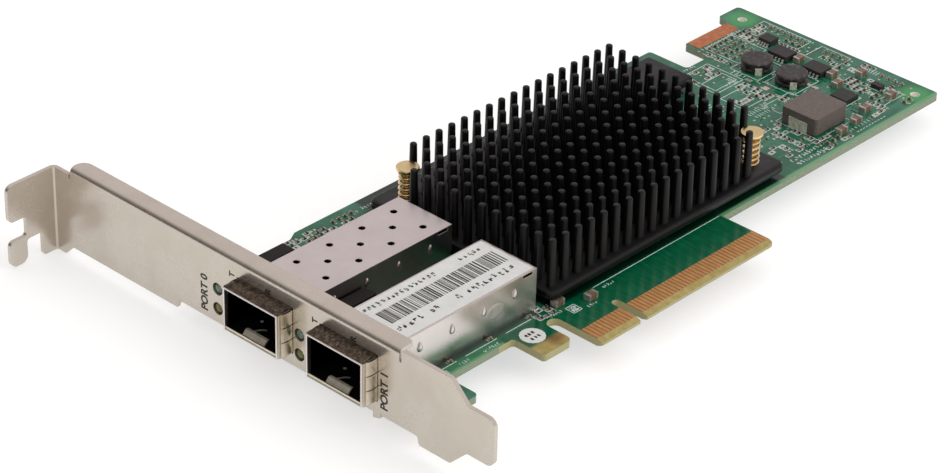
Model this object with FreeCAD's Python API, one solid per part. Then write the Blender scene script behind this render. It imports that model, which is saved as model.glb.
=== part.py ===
import FreeCAD, Part
import math
import os

V = FreeCAD.Vector

# A length that counts as nothing, and how far a cut runs past both faces of what it passes through
nothing = 1e-6
past = 1.0

# Sizes in millimetres. X runs from the bracket to the rear, Y from the edge contacts to the top edge and
# Z out of the component side. The origin is the middle of the key notch, at the edge tab's tip, on the
# component side.

# Flat sides of turned pieces, of holes that something fills and of vents
round_sides = 16
hole_sides = 8
vent_sides = 8

# Circuit board
board_t = 1.57
board_len = 161.9
board_low = 13.2
board_gap = 4.74
front_drop = 0.75
top_step = 1.3
top_step_x = 21.8
top_step_run = 2.3
corner_r = 1.0
inner_r = 0.8
ear_w = 8.9
ear_tip = 4.3
hook_w = 7.95
hook_tip = 4.5
hook_r = 1.3
slot_w = 3.3
slot_len = 7.6
rear_tab_w = 7.1
strip_len = 15.2
strip_w = 3.65
strip_t = 0.05
strip_drop = 3.15
cut_w = 7.95
cut_drop = 10.6
rear_hole_r = 1.1
rear_hole_inset = 4.1
rear_hole_low = 3.3
rear_hole_high = 4.6

# Edge tab and its contacts
contact_w = 0.7
contact_space = 0.3
contact_len = 4.15
contact_t = 0.04
contacts_front = 11
contacts_rear = 38
tab_margin = 0.65
tip_margin = 0.05
key_w = 1.9
key_depth = 8.05
key_margin = 0.2
bevel_h = 1.3
tip_t = 0.63

# Bracket, folded from one sheet
sheet = 0.86
bend_r = 0.5
key_to_bracket = 56.0
bracket_len = 120.02
tongue_drop = 13.06
flange_depth = 3.9
flange_clear = 3.31
flange_far_gap = 4.9
flange_near_gap = 5.7
flange_r = 2.2
lip_depth = 3.8
lip_rise = 1.0
lip_gap = 1.8
relief_w = 0.5
relief_d = 1.2
tongue_w = 10.19
tongue_len = 6.56
tongue_r = 1.8
shoulder_run = 4.1
shoulder_r = 1.2
screw_tab_reach = 11.9
screw_tab_inset = 1.82
screw_tab_drop = 2.35
screw_tab_foot = 3.65
screw_tab_rise = 2.5
screw_tab_r = 1.6
screw_slot_w = 4.42
screw_slot_len = 4.3
screw_slot_shift = 3.11
screw_slot_r = 1.2
finger_len = 5.84
finger_neck = 0.79

# What holds the board to the bracket
spacer_h = 1.32
screw_r = 1.25
screw_slack = 0.2
screw_head_r = 2.3
screw_head_h = 1.5
screw_rim_h = 0.9
screw_top_r = 1.72
screw_edge = 2.8
screw_inset = 4.1
screw_end = 0.4
cross_arm = 1.3
cross_w = 0.6
cross_depth = 0.7
near_ear_reach = 6.8
near_ear_back = 2.2
far_ear_reach = 4.8
far_ear_back = 4.3

# Module cages
cage_w = 14.5
cage_h = 9.5
cage_len = 46.9
cage_wall = 0.3
cage_out = 3.9
cage_margin = 3.85
cage_gap = 7.8
port_gap = 0.1
vent_r = 0.75
vent_pitch = 8.73
vent_row = 3.97
vent_rear = 4.71
vent_counts = (4, 3, 4)
leg_rear = 4.0
leg_front = 3.4
leg_count = 4
leg_w = 0.9
leg_len = 2.4
leg_slack = 0.175
lance_rear = 6.0
lance_front = 9.6
lance_count = 4
lance_w = 0.7
lance_out = 0.3
lance_low = 5.6
lance_h = 1.7
lance_crest = 0.5
corner_slot_rear = 1.2
corner_slot_len = 2.6
corner_slot_h = 0.6
collar_t = 0.25
collar_inset = 0.6
collar_behind = 0.74
collar_slit = 0.3
collar_rim = 1.0
latch_w = 5.8
latch_h = 1.15
latch_len = 1.4
floor_inset = 0.2
connector_len = 10.3
connector_slope = 4.1
connector_h = 6.4
connector_nose_h = 4.6
connector_clear = 0.95
connector_rear = 0.9
connector_slot_z = 2.3
connector_slot_h = 1.4
connector_slot_d = 6.0
connector_slot_side = 1.1
floor_gap = 2.5

# Lamps
lens_r = 1.25
lens_out = 0.15
lens_round = 0.35
lens_slack = 0.1
lamp_low = 0.25
lamp_pitch = 4.4
lamp_clear = 0.15
housing_w = 3.2
housing_wall = 0.25
housing_len = 17.84
housing_gap = 0.1
screw_clear = 2.0

# Heat sink, chip below it, and the spring-loaded push-pins
pin_pitch = 3.68
pin_columns = 19
pin_rows = 13
pin_foot_r = 0.88
pin_top_r = 0.73
pin_h = 10.3
pin_sides = 6
bare_pins = 2
plate_t = 1.8
plate_gap_front = 2.2
plate_gap_near = 1.05
plate_front_margin = 2.45
plate_rear_margin = 2.61
plate_near_margin = 2.44
plate_far_margin = 3.25
plate_r = 2.0
wing_len = 14.5
wing_w = 12.95
chip_side = 35.0
chip_h = 1.25
pad_t = 0.25
push_shaft_r = 1.2
push_slack = 0.3
push_head_h = 1.3
push_bevel = 0.4
push_head_rim = 0.49
push_flare = 0.6
push_clear_x = 0.86
push_clear_y = 1.6
barb_r = 0.35
barb_len = 2.4
barb_gap = 0.1
barb_tip_r = 0.6
spring_wire = 0.28
spring_slack = 0.15
spring_h = 6.4
spring_turns = 5.5
spring_closed = 0.75
spring_steps = 8
wire_sides = 5

# Power section. Places are distances from the rear edge and shares of the board's depth from its lower edge.
drums = ((19.2, 0.623), (18.7, 0.458))
drum_r = 3.55
drum_waist_r = 2.8
drum_h = 2.5
drum_disc = 0.7
drum_bevel = 0.15
terminal_t = 0.2
terminal_w = 1.5
terminal_in = 1.6
terminal_h = 1.7
block = (28.8, 0.205)
block_size = (10.6, 9.4)
block_h = 4.0
block_r = 0.8
block_terminal_w = 4.8
block_terminal_in = 2.0
block_terminal_h = 2.4
leaded = ((8.5, 0.72, 3.0, 3.2), (11.3, 0.61, 3.9, 5.0), (11.4, 0.438, 3.9, 5.0))
leaded_counts = (4, 5, 5)
leadless = ((16.3, 0.233, 4.3, 4.3), (7.5, 0.194, 1.6, 2.6))
leaded_h = 1.4
leadless_h = 0.9
lead_w = 0.4
lead_t = 0.18
lead_high = 0.7
lead_out = 0.45
lead_foot = 0.55
lead_lift = 0.15
lead_ends = 0.3
large_places = ((10.3, 0.54), (10.6, 0.372), (13.2, 0.311), (5.6, 0.298), (8.9, 0.11), (17.5, 0.115),
                (22.9, 0.084), (28.6, 0.075))
finger_places = ((-2.4, 1.6), (-8.6, -1.4))
large_len = 2.5
large_w = 1.6
large_gap = 0.2
small_len = 1.0
small_w = 0.5
small_h = 0.45
cap_share = 0.2

# Rows of small chips: first distance from the rear, first share of the depth, steps along and down
small_rows = (
    (20.0, 0.846, 1.9, 0.0), (20.0, 0.808, 1.9, 0.0), (19.4, 0.77, 1.9, 0.0), (19.4, 0.733, 1.9, 0.0),
    (2.7, 0.795, 0.0, 1.9), (4.9, 0.679, 0.0, 1.8), (2.7, 0.517, 0.0, 1.9), (5.1, 0.49, 0.0, 1.8),
    (2.9, 0.239, 0.0, 1.8), (11.9, 0.158, 1.7, 0.0), (27.0, 0.355, 1.9, 0.0), (34.0, 0.061, 1.8, 0.0),
    (8.5, 0.05, 1.8, 0.0),
)
small_counts = (5, 5, 4, 4, 6, 3, 4, 2, 4, 3, 4, 3, 2)
turned_rows = (0, 2, 5, 7, 9, 10, 11, 12)
foot_rear = 2.8
foot_step = 10.9
foot_count = 3
foot_clear = 0.85
top_row_rear = 5.0
top_row_step = 1.7
top_row_count = 4
top_row_drop = 2.7

# Paper
label_front = 3.4
label_t = 0.08
label_margin = 0.45
label_rear = 0.6
sticker_r = 2.6
sticker_t = 0.06
sticker_x = 4.6
sticker_up = 6.1

# Places that follow from the sizes, from the bracket to the rear
bracket_x = -key_to_bracket
sheet_in = bracket_x + sheet
outer_r = bend_r + sheet
board_front = sheet_in + board_gap
board_rear = board_front + board_len
screw_x = board_front + screw_inset
contact_pitch = contact_w + contact_space
key_gap = key_w / 2 + key_margin + contact_w / 2
tab_front = -key_gap - contact_pitch * (contacts_front - 1) - tab_margin
tab_rear = key_gap + contact_pitch * (contacts_rear - 1) + tab_margin
hook_rear = tab_front - slot_w
hook_front = hook_rear - hook_w
cage_mouth = bracket_x - cage_out
cage_rear = cage_mouth + cage_len
collar_front = cage_mouth + collar_inset
collar_back = sheet_in + collar_behind
lance_pitch = (cage_rear - lance_rear - collar_back - lance_front) / (lance_count - 1)
plate_front = cage_rear + plate_gap_front
pin_first_x = plate_front + plate_front_margin
pin_last_x = pin_first_x + pin_pitch * (pin_columns - 1)
plate_rear = pin_last_x + plate_rear_margin
rear_tab_x = board_rear - rear_tab_w
cut_rear = rear_tab_x - strip_len
cut_front = cut_rear - cut_w

# From the near side to the far side
front_low = board_low - front_drop
cage_near = front_low + cage_margin
cage_y = (cage_near + cage_w * 1.5 + cage_gap, cage_near + cage_w / 2)
lamp_shift = cage_w / 2 + cage_gap - collar_t - lamp_clear - housing_w / 2
lamp_y = [y + lamp_shift for y in cage_y]
near_screw_y = ear_tip + screw_inset + screw_slack
far_screw_y = lamp_y[0] + housing_w / 2 + screw_clear + screw_head_r
screw_y = (near_screw_y, far_screw_y)
front_top = far_screw_y + screw_edge
board_top = front_top + top_step
seat_y = bracket_len - sheet - tongue_drop
strip_edge = board_top - strip_drop
cut_low = board_top - cut_drop
plate_near = board_low + plate_gap_near
pin_last_y = plate_near + plate_near_margin
pin_first_y = pin_last_y + pin_pitch * (pin_rows - 1)
plate_far = pin_first_y + plate_far_margin

# From below the board to the top
lip_z = -board_t - spacer_h - sheet
bracket_low = lip_z - lip_rise
bracket_top = cage_h + flange_clear + sheet
bracket_mid = (bracket_low + bracket_top) / 2
lamp_z = (lamp_low + lamp_pitch, lamp_low)
plate_low = chip_h + pad_t
plate_high = plate_low + plate_t
spring_top = plate_high + spring_h
large_h = plate_low - large_gap

# Push-pins stand in the two corners without pins
spring_r = push_shaft_r + spring_slack + spring_wire
push_hole_r = push_shaft_r + push_slack
push_head_r = spring_r + spring_wire + push_head_rim
push_in_x = pin_pitch * bare_pins - pin_foot_r - push_head_r - push_clear_x
push_in_y = pin_pitch * bare_pins - pin_foot_r - push_head_r - push_clear_y
push_places = {
    "front": (pin_first_x + push_in_x, pin_first_y - push_in_y),
    "rear": (pin_last_x - push_in_x, pin_last_y + push_in_y),
}
leg_last = cage_rear - leg_rear
leg_pitch = (leg_last - board_front - leg_front) / (leg_count - 1)
leg_x = [leg_last - leg_pitch * i for i in range(leg_count)]


def box(x0, x1, y0, y1, z0, z1):
    return Part.makeBox(x1 - x0, y1 - y0, z1 - z0, V(x0, y0, z0))


def at_z(z):
    return lambda u, v: V(u, v, z)


def at_y(y):
    return lambda u, v: V(u, y, v)


def at_x(x):
    return lambda u, v: V(x, u, v)


# A face inside an outline whose corners are (u, v, radius), with an arc at each rounded corner
def rounded_face(corners, place):
    starts, mids, ends = [], [], []
    count = len(corners)
    for i, (u, v, radius) in enumerate(corners):
        here = V(u, v, 0)
        if radius == 0:
            starts.append(here)
            mids.append(None)
            ends.append(here)
            continue
        back = V(corners[i - 1][0], corners[i - 1][1], 0) - here
        ahead = V(corners[(i + 1) % count][0], corners[(i + 1) % count][1], 0) - here
        half = back.getAngle(ahead) / 2
        back.normalize()
        ahead.normalize()
        middle = back + ahead
        middle.normalize()
        starts.append(here + back * (radius / math.tan(half)))
        mids.append(here + middle * (radius / math.sin(half) - radius))
        ends.append(here + ahead * (radius / math.tan(half)))
    edges = []
    for i in range(count):
        if mids[i] is not None:
            arc = [place(p.x, p.y) for p in (starts[i], mids[i], ends[i])]
            edges.append(Part.Arc(*arc).toShape())
        a, b = ends[i], starts[(i + 1) % count]
        if (b - a).Length > nothing:
            edges.append(Part.LineSegment(place(a.x, a.y), place(b.x, b.y)).toShape())
    return Part.Face(Part.Wire(edges))


def plate_xy(corners, z0, z1):
    return rounded_face(corners, at_z(z0)).extrude(V(0, 0, z1 - z0))


def plate_xz(corners, y0, y1):
    return rounded_face(corners, at_y(y0)).extrude(V(0, y1 - y0, 0))


def plate_yz(corners, x0, x1):
    return rounded_face(corners, at_x(x0)).extrude(V(x1 - x0, 0, 0))


def sharp(points):
    return [(u, v, 0) for u, v in points]


def polygon_face(points):
    return Part.Face(Part.makePolygon(points + points[:1]))


# A turned piece whose profile is (radius, height) points from its lower end up, standing at x, y. Turned pieces
# and small holes repeat, so they have flat sides.
def turned(profile, x, y, sides=round_sides):
    angles = [2 * math.pi * k / sides for k in range(sides)]
    rings = [[V(x + r * math.cos(a), y + r * math.sin(a), z) for a in angles] for r, z in profile]
    faces = [polygon_face(rings[0]), polygon_face(rings[-1])]
    for low, high in zip(rings[:-1], rings[1:]):
        for k in range(sides):
            n = (k + 1) % sides
            faces.append(polygon_face([low[k], low[n], high[n], high[k]]))
    return Part.Solid(Part.Shell(faces))


# The same, lying along X from its front end at x, with heights measured inwards
def turned_x(profile, x, y, z):
    piece = turned(profile, 0, 0)
    piece.rotate(V(0, 0, 0), V(0, 1, 0), 90)
    piece.translate(V(x, y, z))
    return piece


def rod_z(x, y, radius, z0, z1, sides=round_sides):
    return turned([(radius, z0), (radius, z1)], x, y, sides)


def middle_box(x, y, w, d, z0, z1):
    return box(x - w / 2, x + w / 2, y - d / 2, y + d / 2, z0, z1)


# A place in the power section
def spot(from_rear, share):
    return board_rear - from_rear, board_low + share * (board_top - board_low)


# Circuit board: outline, bevelled edge tab, holes
def circuit_board():
    half = key_w / 2
    slot_top = hook_tip + slot_len
    step_x = board_front + top_step_x
    corners = [
        (board_front, front_top, corner_r), (board_front, ear_tip, corner_r),
        (board_front + ear_w, ear_tip, corner_r), (board_front + ear_w, front_low, inner_r),
        (hook_front, front_low, inner_r), (hook_front, hook_tip, inner_r), (hook_rear, hook_tip, hook_r),
        (hook_rear, slot_top, slot_w / 2), (tab_front, slot_top, slot_w / 2), (tab_front, 0, inner_r),
        (-half, 0, key_margin), (-half, key_depth, half), (half, key_depth, half), (half, 0, key_margin),
        (tab_rear, 0, inner_r), (tab_rear, board_low, inner_r), (board_rear, board_low, corner_r),
        (board_rear, board_top, corner_r), (rear_tab_x, board_top, corner_r),
        (rear_tab_x, strip_edge, inner_r), (cut_rear, strip_edge, inner_r),
        (cut_rear, cut_low, corner_r), (cut_front, cut_low, corner_r),
        (cut_front, board_top, inner_r), (step_x + top_step_run, board_top, corner_r),
        (step_x, front_top, corner_r),
    ]
    board = plate_xy(corners, -board_t, 0)
    bevel_d = (board_t - tip_t) / 2
    slope = bevel_h / bevel_d
    for face_z, inward in ((0, -1), (-board_t, 1)):
        wedge = [(-past, face_z - inward * past), (bevel_h + past * slope, face_z - inward * past),
                 (-past, face_z + inward * (bevel_d + past / slope))]
        face = polygon_face([V(tab_front - past, y, z) for y, z in wedge])
        board = board.cut(face.extrude(V(tab_rear - tab_front + 2 * past, 0, 0)))
    low, high = -board_t - past, past
    rear_x = board_rear - rear_hole_inset
    rear_y = (board_low + rear_hole_low, board_top - rear_hole_high)
    cuts = [Part.makeCylinder(rear_hole_r, high - low, V(rear_x, y, low)) for y in rear_y]
    cuts += [rod_z(x, y, push_hole_r, low, high, hole_sides) for x, y in push_places.values()]
    cuts += [rod_z(screw_x, y, screw_r + screw_slack, low, high, hole_sides) for y in screw_y]
    for centre in cage_y:
        for side in (-1, 1):
            wall = centre + side * (cage_w - cage_wall) / 2
            for x in leg_x:
                cuts.append(middle_box(x, wall, leg_w + 2 * leg_slack, cage_wall + 2 * leg_slack, low, high))
    return board.cut(Part.makeCompound(cuts))


# Edge contacts: the same rows on both sides of the tab
def edge_contacts():
    centres = [-key_gap - contact_pitch * i for i in range(contacts_front)]
    centres += [key_gap + contact_pitch * i for i in range(contacts_rear)]
    low = bevel_h + tip_margin
    pads = []
    for z in (0, -board_t - contact_t):
        for x in centres:
            pads.append(box(x - contact_w / 2, x + contact_w / 2, low, low + contact_len, z, z + contact_t))
    return Part.makeCompound(pads)


# Bracket: face, top tab with its screw slot, upper flange, lower lip with two ears
def bracket():
    bend_top = bracket_top - outer_r
    bend_low = lip_z + outer_r
    relief_top = bend_top - relief_d
    relief_low = bend_low - relief_w
    tab_top = bracket_top - screw_tab_inset
    tab_low = bracket_low - screw_tab_drop
    tab_start = seat_y - screw_tab_rise
    flange_far = seat_y - flange_far_gap
    flange_near = cage_near - flange_near_gap
    near_low, near_high = near_screw_y - near_ear_back, near_screw_y + near_ear_reach
    far_low, far_high = far_screw_y - far_ear_back, far_screw_y + far_ear_reach
    lip_near = near_high + lip_gap
    tongue_end = -tongue_drop
    tongue_top, tongue_low = bracket_mid + tongue_w / 2, bracket_mid - tongue_w / 2
    neck = tongue_end + tongue_len
    shoulder = neck + shoulder_run
    face = plate_yz([
        (tab_start, tab_top, 0), (flange_far + relief_w, tab_top, 0), (flange_far + relief_w, relief_top, 0),
        (flange_far, relief_top, 0), (flange_far, bend_top, 0), (flange_near, bend_top, 0),
        (flange_near, relief_top, 0), (flange_near - relief_w, relief_top, 0),
        (flange_near - relief_w, bracket_top, bend_r), (shoulder, bracket_top, shoulder_r),
        (neck, tongue_top, shoulder_r), (tongue_end, tongue_top, tongue_r),
        (tongue_end, tongue_low, tongue_r), (neck, tongue_low, shoulder_r),
        (shoulder, bracket_low, shoulder_r),
        (near_low - 2 * relief_w, bracket_low, bend_r), (near_low - relief_w, relief_low, 0),
        (near_low, relief_low, 0), (near_low, bend_low, 0), (near_high, bend_low, 0),
        (near_high, lip_z, 0), (lip_near, lip_z - relief_w, 0), (lip_near, bend_low, 0),
        (far_high, bend_low, 0), (far_high, relief_low, 0), (far_high + relief_w, relief_low, 0),
        (far_high + 2 * relief_w, bracket_low, 0), (tab_start - screw_tab_drop, bracket_low, bend_r),
        (tab_start, tab_low, 0),
    ], bracket_x, sheet_in)

    tab_end = bracket_x - screw_tab_reach
    fold = plate_xy([
        (bracket_x, tab_start, 0), (bracket_x, seat_y, bend_r), (tab_end, seat_y, 0),
        (tab_end, seat_y + sheet, 0), (sheet_in, seat_y + sheet, outer_r), (sheet_in, tab_start, 0),
    ], tab_low, tab_top)
    slot_mid = bracket_mid - screw_slot_shift
    slot_top, slot_low = slot_mid + screw_slot_w / 2, slot_mid - screw_slot_w / 2
    slot_in = tab_end + screw_slot_len
    notch_top = slot_low - finger_neck
    finger_low = slot_low - finger_len
    foot = bracket_x - screw_tab_foot
    tab = plate_xz([
        (sheet_in + past, tab_top, 0), (tab_end, tab_top, screw_tab_r), (tab_end, slot_top, screw_slot_r),
        (slot_in, slot_top, inner_r), (slot_in, slot_low, inner_r), (tab_end, slot_low, screw_slot_r),
        (tab_end, finger_low, screw_tab_r), (slot_in, finger_low, screw_tab_r), (slot_in, notch_top, inner_r),
        (foot, notch_top, inner_r), (foot, tab_low, inner_r), (sheet_in + past, tab_low, 0),
    ], tab_start - past, seat_y + sheet + past)
    fold = fold.common(tab)

    flange_end = bracket_x + flange_depth
    flange = plate_xz([
        (bracket_x, bend_top, 0), (bracket_x, bracket_top, outer_r), (flange_end, bracket_top, 0),
        (flange_end, bracket_top - sheet, 0), (sheet_in, bracket_top - sheet, bend_r), (sheet_in, bend_top, 0),
    ], flange_near, flange_far)
    flange = flange.common(plate_xy([
        (bracket_x - past, flange_near, 0), (flange_end, flange_near, corner_r),
        (flange_end, flange_far, flange_r), (bracket_x - past, flange_far, 0),
    ], bend_top - past, bracket_top + past))

    def lower_lip(end, y0, y1):
        return plate_xz([
            (bracket_x, bend_low, 0), (bracket_x, lip_z, outer_r), (end, lip_z, 0), (end, lip_z + sheet, 0),
            (sheet_in, lip_z + sheet, bend_r), (sheet_in, bend_low, 0),
        ], y0, y1)

    ear_end = screw_x + screw_edge
    lips = [lower_lip(ear_end, near_low, near_high), lower_lip(bracket_x + lip_depth, lip_near, far_high),
            lower_lip(ear_end, far_low, far_high)]
    shape = face.multiFuse([fold, flange] + lips)
    cuts = [rod_z(screw_x, y, screw_r, lip_z - past, lip_z + sheet + past) for y in screw_y]
    for y in lamp_y:
        hole = [(lens_r + lens_slack, 0), (lens_r + lens_slack, sheet + 2 * past)]
        cuts += [turned_x(hole, bracket_x - past, y, z) for z in lamp_z]
    grow = collar_t + port_gap
    for y in cage_y:
        half = cage_w / 2 + grow
        cuts.append(box(bracket_x - past, sheet_in + past, y - half, y + half, -grow, cage_h + grow))
    return shape.cut(Part.makeCompound(cuts)).removeSplitter()


def bracket_spacers():
    rings = []
    for y in screw_y:
        ring = rod_z(screw_x, y, screw_head_r, lip_z + sheet, -board_t, hole_sides)
        rings.append(ring.cut(rod_z(screw_x, y, screw_r + screw_slack, lip_z, 0, hole_sides)))
    return Part.makeCompound(rings)


# Screws: domed head with a cross recess, shank through board and spacer into the ear
def bracket_screws():
    screws = []
    low = lip_z - screw_end
    for y in screw_y:
        screw = turned([(screw_r, low), (screw_r, 0), (screw_head_r, 0), (screw_head_r, screw_rim_h),
                        (screw_top_r, screw_head_h)], screw_x, y)
        for w, d in ((2 * cross_arm, cross_w), (cross_w, 2 * cross_arm)):
            screw = screw.cut(middle_box(screw_x, y, w, d, screw_head_h - cross_depth, screw_head_h + past))
        screws.append(screw)
    return Part.makeCompound(screws)


# Cage shell: folded from one sheet, open at the mouth and below, with vents, corner slots, lances and legs
def cage_shell(y):
    half = cage_w / 2
    inside = half - cage_wall
    roof = cage_h - cage_wall
    shell = box(cage_mouth, cage_rear, y - half, y + half, 0, cage_h)
    shell = shell.cut(box(cage_mouth - past, cage_rear - cage_wall, y - inside, y + inside, -past, roof))
    cuts = []
    for row, count in enumerate(vent_counts):
        row_y = y + vent_row * (1 - row)
        for i in range(count):
            x = cage_rear - vent_rear - vent_pitch * (i + row % 2 / 2)
            cuts.append(rod_z(x, row_y, vent_r, roof - past, cage_h + past, vent_sides))
    slot_rear = cage_rear - corner_slot_rear
    extras = []
    for side in (-1, 1):
        outer = y + side * half
        cuts.append(middle_box(slot_rear - corner_slot_len / 2, outer, corner_slot_len, 4 * cage_wall,
                               roof - corner_slot_h, roof))
        wall = y + side * (half - cage_wall / 2)
        for x in leg_x:
            extras.append(middle_box(x, wall, leg_w, cage_wall, -leg_len, leg_w))
        profile = [(wall, lance_low), (outer + side * lance_out, lance_low + lance_crest),
                   (wall, lance_low + lance_h)]
        for i in range(lance_count):
            x = collar_back + lance_front + lance_pitch * i
            extras.append(plate_yz(sharp(profile), x - lance_w / 2, x + lance_w / 2))
    return shell.cut(Part.makeCompound(cuts)).multiFuse(extras).removeSplitter()


# Cage floor: flat plate with a latch tongue that rises inwards
def cage_floor(y):
    half = cage_w / 2 - cage_wall
    front = cage_mouth + floor_inset
    rear = cage_rear - cage_wall - connector_rear - connector_len - floor_gap
    plate = box(front, rear, y - half, y + half, 0, cage_wall)
    high = cage_wall + latch_h
    ramp = plate_xz(sharp([(front + floor_inset, cage_wall / 2), (front + latch_len, high),
                           (front + latch_len + 2 * cage_wall, high), (front + latch_len / 2, cage_wall / 2)]),
                    y - latch_w / 2, y + latch_w / 2)
    return plate.fuse(ramp).removeSplitter()


# Shield collar: a sleeve round the cage, slit into spring fingers
def emi_collar(y):
    half = cage_w / 2
    front, back = collar_front, collar_back
    sleeve = box(front, back, y - half - collar_t, y + half + collar_t, -collar_t, cage_h + collar_t)
    sleeve = sleeve.cut(box(front - past, back + past, y - half, y + half, 0, cage_h))
    start = front + collar_rim
    slits = []
    for i in (-1, 0, 1):
        mid = y + i * cage_w / 4
        for z in (-collar_t, cage_h):
            slits.append(middle_box((start + back + past) / 2, mid, back + past - start, collar_slit,
                                    z - collar_slit, z + collar_t + collar_slit))
    for i in (-1, 1):
        mid = cage_h / 2 + i * cage_h / 6
        for wall in (y - half - collar_t / 2, y + half + collar_t / 2):
            slits.append(middle_box((start + back + past) / 2, wall, back + past - start, 2 * collar_t,
                                    mid - collar_slit / 2, mid + collar_slit / 2))
    return sleeve.cut(Part.makeCompound(slits))


# Connector: a block with a slot for the module's own edge
def port_connector(y):
    half = cage_w / 2 - cage_wall - connector_clear
    rear = cage_rear - cage_wall - connector_rear
    front = rear - connector_len
    slope = front + connector_slope
    body = plate_xz([(front, 0, 0), (front, connector_nose_h, inner_r), (slope, connector_h, inner_r),
                     (rear, connector_h, 0), (rear, 0, 0)], y - half, y + half)
    inside = half - connector_slot_side
    return body.cut(box(front - past, front + connector_slot_d, y - inside, y + inside,
                        connector_slot_z, connector_slot_z + connector_slot_h))


# Lamp holder: stands on the board, its front hangs over the board's edge behind the bracket
def led_housing(y):
    half = housing_w / 2
    front = sheet_in + housing_gap
    rear = front + housing_len
    step = board_front - 2 * housing_gap
    top = lamp_z[0] + lens_r + housing_wall
    low = lamp_z[1] - lens_r - housing_wall
    return plate_xz([(front, low, 0), (front, top, housing_wall), (rear, top, housing_wall), (rear, 0, 0),
                     (step, 0, 0), (step, low, 0)], y - half, y + half)


# Lens: stands out of its hole in the bracket and ends at its holder
def lamp_lens(y, z):
    front = bracket_x - lens_out
    depth = sheet_in + housing_gap - front
    return turned_x([(lens_r - lens_round, 0), (lens_r, lens_round), (lens_r, depth)], front, y, z)


# Heat sink: an L-shaped plate with tapered pins, bare round the two push-pins
def heat_sink():
    wing_near = plate_far - wing_w
    plate = plate_xy([
        (plate_front, plate_near, plate_r), (plate_rear, plate_near, plate_r),
        (plate_rear, wing_near, corner_r), (plate_rear + wing_len, wing_near, corner_r),
        (plate_rear + wing_len, plate_far, corner_r), (plate_front, plate_far, plate_r),
    ], plate_low, plate_high)
    low, high = plate_low - past, plate_high + past
    holes = [rod_z(x, y, push_hole_r, low, high, hole_sides) for x, y in push_places.values()]
    plate = plate.cut(Part.makeCompound(holes))
    grow = math.sqrt(2 * math.pi / (pin_sides * math.sin(2 * math.pi / pin_sides)))

    def ring(x, y, radius, z):
        angles = [2 * math.pi * (k + 0.5) / pin_sides for k in range(pin_sides)]
        return [V(x + grow * radius * math.cos(a), y + grow * radius * math.sin(a), z) for a in angles]

    feet, walls = [], []
    for column in range(pin_columns):
        for row in range(pin_rows):
            front_bare = column < bare_pins and row < bare_pins
            rear_bare = column >= pin_columns - bare_pins and row >= pin_rows - bare_pins
            if front_bare or rear_bare:
                continue
            x = pin_first_x + pin_pitch * column
            y = pin_first_y - pin_pitch * row
            foot = ring(x, y, pin_foot_r, plate_high)
            top = ring(x, y, pin_top_r, plate_high + pin_h)
            feet.append(Part.makePolygon(foot + foot[:1]))
            walls.append(polygon_face(top))
            for k in range(pin_sides):
                n = (k + 1) % pin_sides
                walls.append(polygon_face([foot[k], foot[n], top[n], top[k]]))
    upper = [f for f in plate.Faces if f.BoundBox.ZMin > plate_high - nothing]
    lower = [f for f in plate.Faces if f.BoundBox.ZMin <= plate_high - nothing]
    floor = Part.makeFace(upper[0].Wires + feet, "Part::FaceMakerBullseye")
    return Part.Solid(Part.Shell(lower + floor.Faces + walls))


# Push-pin: flared head, straight shaft, barbed tip below the board
def push_pin(x, y):
    barb = -board_t - barb_gap
    top = spring_top + push_head_h
    return turned([
        (barb_tip_r, barb - barb_len), (push_hole_r + barb_r, barb), (push_shaft_r, barb),
        (push_shaft_r, spring_top), (spring_r + spring_wire, spring_top),
        (push_head_r, spring_top + push_flare), (push_head_r, top - push_bevel),
        (push_head_r - push_bevel, top),
    ], x, y)


# Coil spring: a flat-sided wire round a helix, with closed turns at both ends
def push_spring(x, y):
    low = plate_high + spring_wire
    rise = spring_h - 2 * spring_wire
    tight = 2 * spring_wire
    loose = (rise - 2 * spring_closed * tight) / (spring_turns - 2 * spring_closed)
    rings = []
    for i in range(int(spring_turns * spring_steps) + 1):
        turn = i / spring_steps
        start = min(turn, spring_closed)
        end = max(turn - (spring_turns - spring_closed), 0)
        z = low + tight * (start + end) + loose * (turn - start - end)
        a = 2 * math.pi * turn
        ring = []
        for k in range(wire_sides):
            b = 2 * math.pi * k / wire_sides + math.pi / 2
            r = spring_r + spring_wire * math.cos(b)
            ring.append(V(x + r * math.cos(a), y + r * math.sin(a), z + spring_wire * math.sin(b)))
        rings.append(ring)
    faces = [polygon_face(rings[0]), polygon_face(rings[-1])]
    for a, b in zip(rings[:-1], rings[1:]):
        for k in range(wire_sides):
            n = (k + 1) % wire_sides
            faces.append(polygon_face([a[k], a[n], b[n]]))
            faces.append(polygon_face([a[k], b[n], b[k]]))
    return Part.Solid(Part.Shell(faces))


# Drum inductor: two discs with a wound waist between them, standing on its terminals
def drum_inductor(x, y):
    low, high = terminal_t, drum_h
    return turned([
        (drum_r, low), (drum_r, low + drum_disc), (drum_waist_r, low + drum_disc),
        (drum_waist_r, high - drum_disc), (drum_r, high - drum_disc), (drum_r, high - drum_bevel),
        (drum_r - drum_bevel, high),
    ], x, y)


def block_inductor(x, y):
    body = middle_box(x, y, *block_size, terminal_t, block_h)
    upright = [e for e in body.Edges if abs(e.tangentAt(e.FirstParameter).z) > 0.9]
    return body.makeFillet(block_r, upright)


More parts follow.
